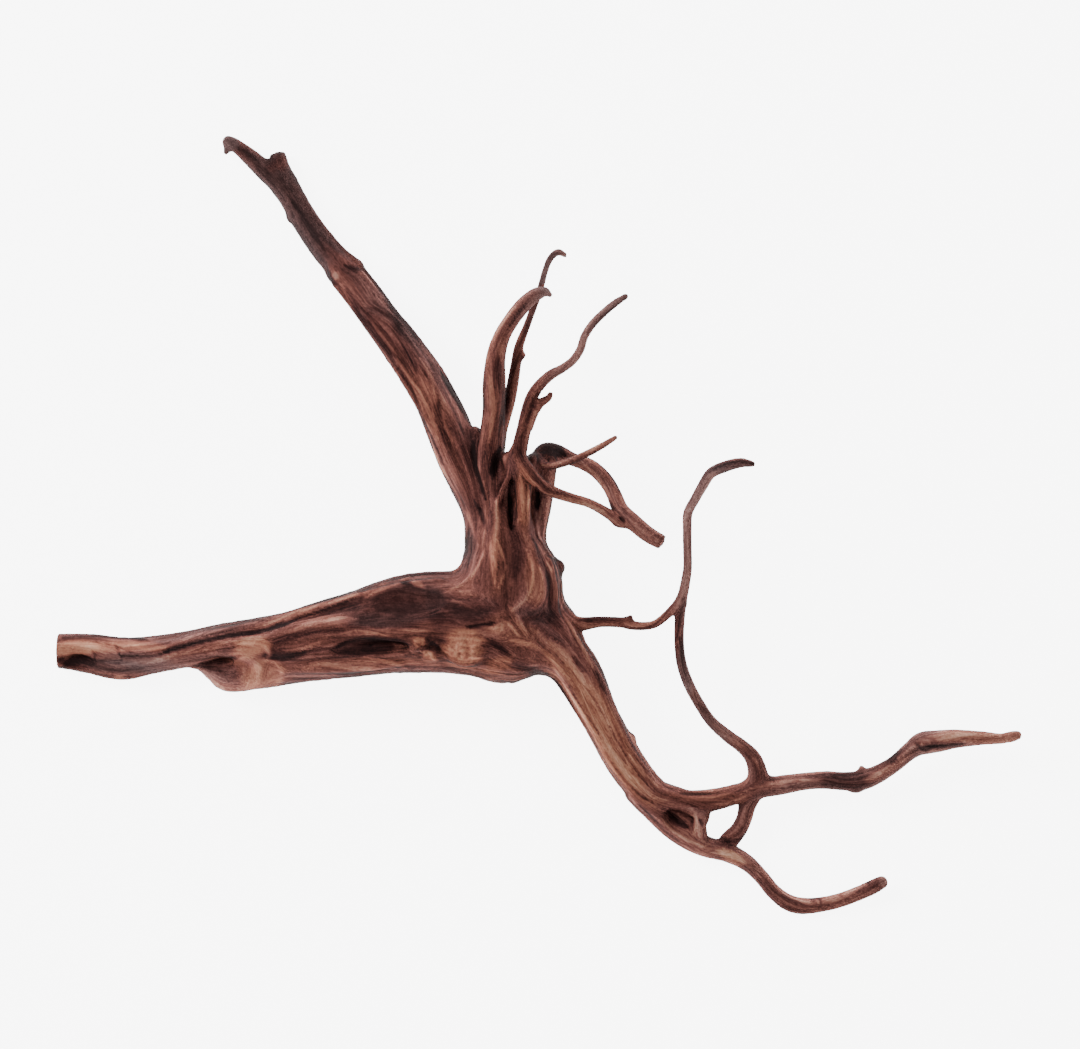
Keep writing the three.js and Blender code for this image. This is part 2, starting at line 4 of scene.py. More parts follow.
import bpy
import numpy as np
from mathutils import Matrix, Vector


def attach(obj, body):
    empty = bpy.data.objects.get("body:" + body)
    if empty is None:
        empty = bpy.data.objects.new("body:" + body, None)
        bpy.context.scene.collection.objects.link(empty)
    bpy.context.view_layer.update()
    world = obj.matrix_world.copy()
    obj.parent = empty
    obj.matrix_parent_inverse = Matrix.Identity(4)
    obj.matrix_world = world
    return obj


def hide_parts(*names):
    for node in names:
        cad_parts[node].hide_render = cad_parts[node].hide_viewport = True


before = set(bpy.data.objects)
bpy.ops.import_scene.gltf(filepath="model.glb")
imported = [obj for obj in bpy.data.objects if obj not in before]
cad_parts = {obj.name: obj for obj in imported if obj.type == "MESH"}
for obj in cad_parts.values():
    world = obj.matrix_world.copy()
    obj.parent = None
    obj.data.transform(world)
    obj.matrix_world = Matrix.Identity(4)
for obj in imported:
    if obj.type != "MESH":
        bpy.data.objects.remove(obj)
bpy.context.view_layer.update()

import openvdb

# Millimetres from here on, up to the mesh itself, which is in metres.
# The limbs, ribs, knots and hollows are those of the solid that this piece stands for.
CENTRING = np.array([1.3, 0.57, 0.0])  # moves the finished wood's box over the origin
SAWN_END_X = -242.5  # before centring
FLUTE_DEPTH = 0.05
RIB_DEPTH = 0.85
STATION_STEP = 0.8  # spacing of the sampled places along a limb
STRETCH = 14  # stations in each run that distances are measured to
LEAST_HALF = 0.3
LEAST_SHARE = 0.05  # of the way out from a limb's pith, where distances stop being followed
LIMB_PHASE = 1.7  # how far each limb's flutes are turned from the last one's
RIB_PHASE = 2.3

# The photograph's frame: half a millimetre a pixel at the wood's middle height
PHOTO_CENTRE = (540.0, 525.0)
MM_PER_PIXEL = 0.5
MIDDLE_HEIGHT = 20.0
CAMERA_DISTANCE = 2250.0  # from that height

# The limbs: how the first and last end close, and points (x, y, z, half width, half depth)
LIMBS = {
    "log": ("flat", "round", [
        (-248, -63.9, 8.2, 8.3, 8), (-238, -64.1, 8.4, 8.7, 8.2), (-225, -65.4, 8.6, 9.9, 8.7),
        (-210, -67.8, 8.6, 10.7, 9.2), (-195, -65.9, 9.5, 9.4, 9), (-177.5, -62.9, 11.2, 9, 9.2),
        (-160, -59.6, 14, 9.6, 11), (-140, -59.9, 17.5, 13.7, 14), (-120, -59.2, 21, 17.6, 17.5),
        (-95, -54.9, 25, 20.9, 21), (-70, -49.5, 28.5, 24.1, 24.5), (-50, -48.2, 30, 25.4, 26),
        (-30, -50, 30.5, 25.5, 27), (-13, -52, 30, 25.2, 26), (1, -54.5, 29, 19, 21),
    ]),
    "collar": ("round", "flat", [
        (-171, -69, 10, 3.4, 4.5), (-163, -71.2, 10.5, 8.2, 7.5), (-156, -72.8, 11, 11, 9.5),
        (-145, -72.3, 13, 10.5, 11), (-127.5, -70.6, 16, 9.5, 12), (-108, -67, 19, 8.3, 12),
    ]),
    "strand": ("round", "round", [
        (-197, -69, 13, 4, 4), (-176, -65.2, 16.5, 4.3, 4.5), (-158, -61.4, 21.5, 4.5, 4.8),
        (-147, -62.2, 26, 5.2, 5), (-139.5, -67.5, 25.5, 5, 4.6), (-138, -76, 18.5, 4, 4),
    ]),
    "trunk": ("round", "round", [
        (-16, -54.8, 30, 23, 25), (-15.5, -38, 31, 27, 27), (-15.5, -25, 32, 26.3, 26),
        (-17.2, -12.5, 32.5, 20.8, 23), (-18, -6.5, 33, 18.8, 21), (-18, 3, 33, 18, 17.5),
        (-19.4, 13, 33, 16, 14), (-21.3, 22, 32.5, 11, 11),
    ]),
    "tall_branch": ("flat", "flat", [
        (-19, -17.5, 30, 11, 13), (-26, 2.5, 30, 10, 12.5), (-33.2, 17.5, 30, 10, 12),
        (-40.5, 34, 29.5, 11, 11.8), (-45.9, 48.2, 28, 11.6, 11.2), (-52.4, 62.5, 26.5, 10.6, 10.8),
        (-59.4, 74.7, 25, 10.6, 10.6), (-68.9, 88.2, 22.5, 10, 9.9), (-78.7, 101, 20, 9.1, 9.2),
        (-89.4, 115.6, 17, 8.8, 8.8), (-98.8, 127.4, 15, 8.6, 8.6), (-103.2, 132.9, 13.8, 7.3, 7.7),
        (-107.9, 138.4, 12.5, 7.1, 7.5), (-115.9, 149.5, 10, 6.7, 7), (-123.7, 162.8, 8, 6.5, 6.7),
        (-128.7, 172, 6.4, 6.6, 7), (-130.8, 179, 6.6, 5.3, 6), (-131.8, 186.6, 7.2, 3.8, 4.6),
    ]),
    "crook": ("flat", "round", [
        (-128.5, 169.5, 7.5, 5, 5), (-136, 175.8, 8.3, 5.1, 5.4), (-142.5, 181.6, 9.5, 4.6, 4.6),
        (-148.7, 187, 11, 3.9, 3.8), (-153.5, 190.6, 12, 3.4, 3.1), (-156.7, 192, 12.6, 3.3, 2.8),
    ]),
    "crook_hook": ("flat", "round", [
        (-154.6, 190.5, 12, 2.2, 2), (-156.8, 188.3, 11.6, 1.8, 1.7), (-157.7, 186.7, 11.3, 1.3, 1.4),
    ]),
    "fork_web": ("round", "round", [
        (-30, 26, 33, 5, 7), (-31.6, 36.5, 33.5, 4.8, 6), (-32.2, 45.3, 34, 3.6, 5),
    ]),
    "horn": ("flat", "round", [
        (-21.5, -3, 33, 7, 8), (-24.5, 12.5, 37, 6.9, 8), (-25, 27.3, 40, 6.4, 7.4),
        (-24.2, 42.3, 43, 6, 6.8), (-22.9, 56, 46, 5.5, 6.4), (-22.7, 69.2, 49, 5.6, 5.6),
        (-21.9, 81.5, 52, 4.8, 4.8), (-19.1, 92, 55, 4.2, 4.2), (-14, 100.7, 57.5, 3.9, 3.9),
        (-8.1, 108, 59.5, 3.8, 3.7), (-2.1, 112.9, 61, 3.4, 3.3), (2.4, 114.2, 61.5, 2.5, 2.4),
        (4.8, 112.8, 61.3, 1.4, 1.4),
    ]),
    "reed": ("flat", "round", [
        (-23, 27, 36, 3.65, 4.25), (-21, 36, 38, 3.45, 4.25), (-19.3, 47.2, 39, 3.25, 4.05),
        (-16.1, 58.6, 39, 3.15, 3.65), (-13.9, 68, 38.5, 2.95, 3.15), (-12, 79, 39, 2.65, 2.75),
        (-10.4, 88.3, 40.5, 2.35, 2.45), (-6.7, 98, 42, 1.85, 1.95), (-3.2, 107.4, 44, 1.75, 1.75),
        (0, 116.2, 46, 1.75, 1.75), (2.7, 125.8, 48, 1.65, 1.65), (5.2, 131.5, 49.5, 1.75, 1.65),
        (8.9, 134.4, 50.5, 1.75, 1.65), (12.4, 132.9, 51, 1.35, 1.35),
    ]),
    "whip": ("flat", "round", [
        (-11.9, 26.1, 50, 4.15, 4.35), (-10.3, 36.9, 53, 3.85, 3.95), (-8.1, 46.7, 56, 3.55, 3.55),
        (-6.1, 56.3, 58, 3.25, 3.25), (-4.1, 62.7, 60, 2.95, 2.95), (-0.4, 68.2, 62.5, 2.75, 2.65),
        (5.2, 73.3, 65, 2.55, 2.45), (10.8, 76.3, 67.5, 2.25, 2.15), (16.1, 80.2, 70, 2.15, 2.15),
        (19.7, 85.5, 72, 2.15, 2.05), (21.7, 91.7, 74, 2.05, 1.95), (25.6, 97.7, 76, 2.05, 1.95),
        (30.8, 102.9, 78.5, 1.95, 1.85), (36.5, 107.6, 81, 1.85, 1.65), (41.8, 111, 83, 1.45, 1.35),
    ]),
    "whip_fork": ("flat", "round", [
        (-6, 47.7, 57, 2.4, 2.3), (-3.2, 54.6, 58.5, 2.4, 2.2), (0.3, 59.4, 60, 2, 1.8),
        (4.2, 62.2, 61, 1.7, 1.6), (5.2, 64.5, 61.5, 1.1, 1),
    ]),
    "front_stem": ("round", "round", [
        (-7.6, -13, 45, 4.4, 5), (-8.2, -2.5, 47.5, 4.2, 4.6), (-8.4, 6.4, 50, 3.9, 4.2),
        (-8.4, 14.8, 52, 3.8, 4), (-9, 23.2, 53, 4.1, 4.1), (-11.3, 31, 53.5, 4.5, 4.4),
        (-12.3, 34.4, 53.5, 3.4, 3.4),
    ]),
    "knuckle": ("round", "round", [
        (-22, 17, 40, 4, 5), (-19, 25, 43, 5, 5.5), (-16.5, 31, 46, 4.6, 5), (-12.5, 33, 50.5, 3.6, 4),
    ]),
    "lace": ("round", "round", [
        (-13, 31.5, 54, 2, 2), (-15.4, 23.2, 53, 1.7, 1.7), (-18.4, 16.3, 51, 1.8, 1.8),
        (-21, 9, 47.5, 1.6, 1.8),
    ]),
    "brace": ("flat", "flat", [
        (-11.8, 33, 54, 3.8, 3.8), (-6.9, 27, 57, 3.8, 3.6), (-1, 20.6, 57, 3.2, 3.1),
        (5.9, 16.3, 54, 3, 2.9), (14.8, 13.2, 50, 2.6, 2.5), (23.7, 10.7, 47, 2.4, 2.3),
        (31.4, 6.8, 44, 2.6, 2.5), (37.8, 2.6, 42, 3, 2.8),
    ]),
    "cane": ("flat", "flat", [
        (-2.5, -16, 33, 5.5, 6.5), (-1.6, -3, 35, 4.8, 6), (0.3, 7.5, 37, 5.1, 5.7),
        (1.5, 17.4, 38, 5.5, 5.6), (2.1, 26.8, 37, 6, 5.8), (2.8, 34, 33, 6.4, 6),
        (8.8, 35.2, 28.8, 4.7, 4.8), (16, 32.6, 27.8, 3.3, 3.6), (25.5, 28.7, 29.5, 3.7, 3.8),
        (32.3, 22.4, 32.5, 3.8, 3.9), (36.6, 15.3, 35.5, 3.8, 3.9), (40.2, 7, 38.5, 4.2, 4),
        (46.8, 0.6, 41, 4.3, 4.2), (53.6, -5, 43, 4.1, 4), (60.4, -8.9, 44.5, 3.7, 3.7),
    ]),
    "spur": ("flat", "round", [
        (0, 28.7, 41.5, 2, 2), (7.9, 29.3, 46, 1.9, 1.8), (15.9, 31.7, 51, 1.9, 1.8),
        (23.4, 34.9, 56, 1.8, 1.7), (30.7, 38.8, 61, 1.7, 1.5), (37, 42.6, 66, 1.3, 1.2),
    ]),
    "rootlet": ("flat", "flat", [
        (6, -42, 32, 6.15, 7.15), (13.5, -47.5, 34, 4.75, 4.95), (19.5, -49.4, 35.2, 3.75, 3.55),
        (29.8, -48.3, 37.5, 2.75, 2.55), (39.7, -48.5, 39.5, 2.65, 2.45), (45.6, -49.9, 41, 2.35, 2.25),
        (52, -50.2, 43, 2.15, 2.05), (57.2, -49, 45, 2.05, 1.95), (61.9, -45.4, 47, 2.15, 2.05),
        (66.2, -41.2, 48.5, 2.35, 2.15), (70, -37.5, 50.5, 2.95, 2.35),
    ]),
    "rootlet_nub": ("flat", "round", [
        (42.4, -48.6, 40, 2.4, 2.2), (44.2, -46.8, 40.8, 2, 1.8), (44.9, -45.6, 41.2, 1.3, 1.2),
    ]),
    "runner": ("round", "flat", [
        (103, 29.3, 88, 1.55, 1.65), (97.1, 29.9, 86, 2.45, 2.45), (89.7, 28, 83, 2.85, 2.75),
        (83.3, 25, 80, 2.75, 2.65), (79.5, 19.2, 77, 2.65, 2.55), (75.7, 12.2, 73, 2.45, 2.35),
        (72.4, 5.4, 69, 2.45, 2.35), (72.2, -3.4, 65, 2.35, 2.25), (72.4, -12.3, 61, 2.35, 2.25),
        (72.6, -21.2, 57, 2.35, 2.25), (71.4, -30, 53, 2.55, 2.35), (69.8, -39, 49, 2.65, 2.45),
        (69, -49.4, 45, 2.55, 2.35), (69, -59.4, 41, 2.45, 2.35), (70.3, -69.1, 37.5, 2.55, 2.45),
        (73.7, -78.9, 34.5, 2.65, 2.55), (79, -88.8, 31.5, 2.65, 2.55), (85.2, -97.9, 29, 2.75, 2.65),
        (93.6, -105.4, 26.5, 3.15, 3.05), (101.1, -111, 24, 3.45, 3.45),
        (106.2, -116.6, 21.5, 4.15, 3.95), (108.6, -123.5, 19, 4.95, 4.35), (109, -130, 17, 6.05, 4.55),
    ]),
    "leg": ("round", "round", [
        (-7.5, -42.5, 30, 14, 16), (2.5, -55, 30, 13, 15), (13, -65.8, 29, 12.3, 13.5),
        (20.3, -76, 27.5, 11.5, 12), (28.8, -94, 24.5, 9.8, 10.5), (38.3, -111.5, 21.5, 9.6, 9.8),
        (46.8, -124.8, 19, 9.4, 9.2), (56, -136, 17, 8.6, 8.2), (66, -138.5, 16.3, 6.4, 6.8),
    ]),
    "right_arm": ("flat", "round", [
        (56, -134.5, 17, 6.5, 7), (66, -138, 16.5, 6.4, 6.6), (76, -139.5, 16, 6.3, 6),
        (89.5, -137.4, 16, 5.5, 5.2), (105, -133.3, 16, 4.9, 4.8), (120, -130.7, 15.5, 4.9, 4.7),
        (132.5, -128.7, 14.5, 4.4, 4.4), (142.5, -128, 14, 4.5, 4.3), (152.5, -128.5, 14.5, 4.6, 4.4),
        (160, -128.2, 15, 5, 4.6), (168.2, -125.3, 16, 4.6, 4.3), (177.3, -119.7, 18, 4.1, 4.1),
        (184.8, -113.2, 20.5, 4.4, 4.2), (190.6, -109.4, 22, 5.6, 4.6), (197.5, -108.3, 23, 5.5, 4.6),
        (207.5, -106.9, 24.5, 4.7, 4.2), (220, -106.4, 26.5, 3.6, 3.5), (229.5, -106.6, 28, 2.7, 2.8),
        (235, -105.5, 29, 2.8, 2.7), (237.6, -104.9, 29.4, 2.4, 2.4),
    ]),
    "foot": ("flat", "round", [
        (50.8, -131.8, 18, 8, 8), (60.8, -144.6, 15, 7.2, 7), (70.7, -154.5, 13, 6.2, 6),
        (82, -161.1, 10.8, 5.5, 5.3), (94, -164.7, 8.8, 4.8, 4.7), (103.8, -169.8, 7, 4.1, 4.3),
        (111.2, -176.9, 5.2, 3.7, 4), (117.5, -184.6, 3.9, 3.8, 4), (124.4, -189.9, 3.3, 4.2, 4),
        (131.5, -191.9, 3.3, 4.2, 3.9), (140, -191.4, 4, 3.8, 3.8), (150, -189.3, 5.2, 3.6, 3.6),
        (160, -185.5, 7, 3.6, 3.5), (167.3, -182, 9, 3.6, 3.4), (171.6, -179.6, 10.4, 3.2, 3),
    ]),
    "web": ("round", "round", [
        (59, -138.5, 12, 7.5, 5), (67, -146, 11, 8, 5), (75, -151, 10.5, 6, 4),
    ]),
    "bridge": ("flat", "flat", [
        (107.2, -133.5, 15, 4.8, 3.8), (103.9, -141.3, 14, 4.3, 3.4), (102.4, -147.5, 13, 4, 3.4),
        (99.3, -153.6, 12, 4.3, 3.5), (94.6, -158.8, 11, 4.7, 3.8), (92, -163, 10, 3.2, 3),
    ]),
    "tie": ("flat", "flat", [
        (76.5, -140, 17, 4.8, 3.6), (80.6, -145.2, 17.5, 4.4, 3.2), (79.8, -150.5, 17, 3.5, 3),
        (79.6, -155.5, 15, 4.2, 3.2), (78, -160, 12.5, 4, 3),
    ]),
    "backing": ("round", "round", [
        (-12, 2, 35, 6, 10), (-8.5, 12, 36.5, 6.5, 10.5), (-6, 22, 38, 6, 10.5), (-3, 30.5, 38, 5, 9),
    ]),
}

# Ribs along the wood's upper side: x, y, half width, and how far they stand proud
RIBS = {
    "tongue": [
        (-22.7, 12.3, 2.4, 0.6), (-21.7, -2.5, 3, 1.6), (-21.2, -17.2, 3.4, 2.2), (-20.7, -29.6, 2, 0.3),
    ],
    "swirl": [
        (-5, -9.9, 2.4, 0.8), (-3, -19.7, 3, 1.6), (0.5, -31, 3.3, 1.9), (-2, -38.9, 3.2, 1.8),
        (-8.9, -45.8, 2.9, 1.4), (-17.2, -54.2, 2, 0.2),
    ],
    "flank": [
        (4, -18, 2, 0.3), (6.5, -32, 2.6, 1), (7.2, -44, 2.6, 1), (13.5, -57, 2, 0.2),
    ],
    "eyebrow": [
        (-182.5, -60.4, 2.2, 0.3), (-167.3, -56.6, 3, 1), (-149.6, -53.1, 3.5, 1.3),
        (-129.5, -48.3, 3.8, 1.4), (-109.3, -42.6, 3.8, 1.4), (-89.3, -36.8, 3.6, 1.3),
        (-69.3, -31.8, 3.2, 1), (-49.3, -28.5, 2.2, 0.2),
    ],
    "ridge": [
        (-138, -57.1, 3.4, 0.4), (-124.1, -53.1, 4.8, 1.6), (-104.2, -52.1, 5.4, 1.9),
        (-84.3, -52.1, 5.4, 1.7), (-64.5, -54.1, 4.6, 1.2), (-49.6, -57.1, 3, 0.2),
    ],
    "lower_band": [
        (-128, -71, 3.2, 0.3), (-109, -70.3, 4, 1.3), (-89.4, -69.3, 4, 1.3), (-69.5, -67.3, 3, 0.3),
    ],
    "leg_left": [
        (3.9, -60.6, 2.5, 0.3), (14.2, -77.5, 3, 1.2), (26, -98.5, 3, 1.2), (37.8, -119.8, 3, 1.2),
        (50, -134.8, 2, 0.2),
    ],
    "leg_right": [
        (17.3, -57, 2, 0.3), (25.9, -71, 2.6, 1), (34.5, -89.8, 2.6, 1), (43.4, -110, 2.4, 1),
        (54.5, -127.3, 1.8, 0.2),
    ],
    "branch_outer": [
        (-32.6, 5.4, 2, 0.3), (-40.6, 23.1, 2.6, 1), (-50, 43.4, 2.8, 1.1), (-61.2, 63.6, 2.8, 1.1),
        (-74.4, 83.9, 2.6, 1), (-90.8, 106.6, 2.4, 0.9), (-102.5, 120.5, 1.6, 0.2),
    ],
    "branch_inner": [
        (-30.2, 9.9, 2, 0.3), (-36.6, 32.2, 2.6, 1), (-45.5, 54, 2.8, 1.2), (-57, 74.1, 2.6, 1),
        (-69.6, 94.2, 1.8, 0.2),
    ],
}

# Rounded lumps: the centre and the half sizes
KNOTS = [
    (40.3, 0.6, 41.5, 3.8, 2.6, 3.2),  # lump where the brace meets the cane
    (9, -21.3, 31, 3.4, 3.6, 5),  # bump on the trunk's right flank
    (-60, -59.1, 50.5, 4.4, 3.6, 4),  # crumbly knots on the log
    (-54, -64.2, 47.5, 4, 3.2, 4),
    (-36.4, -60.5, 50.6, 11, 9.5, 6.5),  # rounded boss beside them
    (-91.9, 129.6, 14, 2.5, 2.6, 3),  # knob on the tall branch
    (-103, 124.8, 21, 2.4, 2.2, 2.2),
    (-124.9, 154.2, 8.2, 2, 2.2, 2.4),
    (45.8, -107.4, 22, 2.4, 3, 3.4),  # bump on the leg
    (-8.6, 83.8, 39.6, 1.6, 1.6, 1.6),  # nub on the reed
    (161, -122.6, 15.5, 1.4, 2.4, 1.6),  # twiglet and knob on the right arm
    (158.2, -132.4, 14.5, 2.6, 1.7, 2),
]

# Hollows: the centre, the half sizes and the turn in degrees
HOLLOWS = [
    (-70.5, -39.8, 55.6, 23, 8.6, 8.2, 5),  # scooped bowl near the trunk
    (-84.6, -60.4, 49, 20, 2.8, 6, 1),  # long slit below the ridge
    (-232, -68.2, 17, 8.5, 3.2, 3.6, 0),  # cavity by the sawn end
    (-161.5, -69.6, 21, 8, 3, 4.4, 8),  # shadowed notch under the hooked strand
    (68.5, -147.6, 21.5, 6.5, 4.6, 6.5, -35),  # recess between the arm and the foot
    (-20.2, 26.8, 48.5, 2.2, 6, 5, 0),  # pit beside the horn
    (-14.6, 8.8, 49.5, 2.1, 12, 5.5, 4),  # grooves each side of the front stem
    (-2.2, 9.5, 47, 1.7, 9, 5, 0),
]

BLEND = {  # how softly each limb flows into what it grows from
    "collar": 5.0,
    "strand": 2.0,
    "trunk": 6.0,
    "tall_branch": 6.0,
    "crook": 3.0,
    "crook_hook": 1.5,
    "fork_web": 3.0,
    "horn": 3.0,
    "reed": 1.5,
    "front_stem": 2.5,
    "knuckle": 2.5,
    "leg": 6.0,
    "right_arm": 4.0,
    "foot": 4.0,
    "web": 4.0,
}
TWIG_BLEND = 2.0  # for the limbs not named above
RIB_BLEND = 2.0
KNOT_BLEND = 2.5
HOLLOW_BLEND = 3.0
RIB_HOSTS = ("log", "collar", "trunk", "tall_branch", "leg")

# The volume that the wood is grown in
VOXEL = 1.12
BAND = 7.0  # distances beyond this aren't kept
GRID_LOW = np.array([-247.0, -202.0, -4.0])
GRID_HIGH = np.array([247.0, 202.0, 96.0])
GRID_SHAPE = tuple(np.ceil((GRID_HIGH - GRID_LOW) / VOXEL).astype(int) + 1)

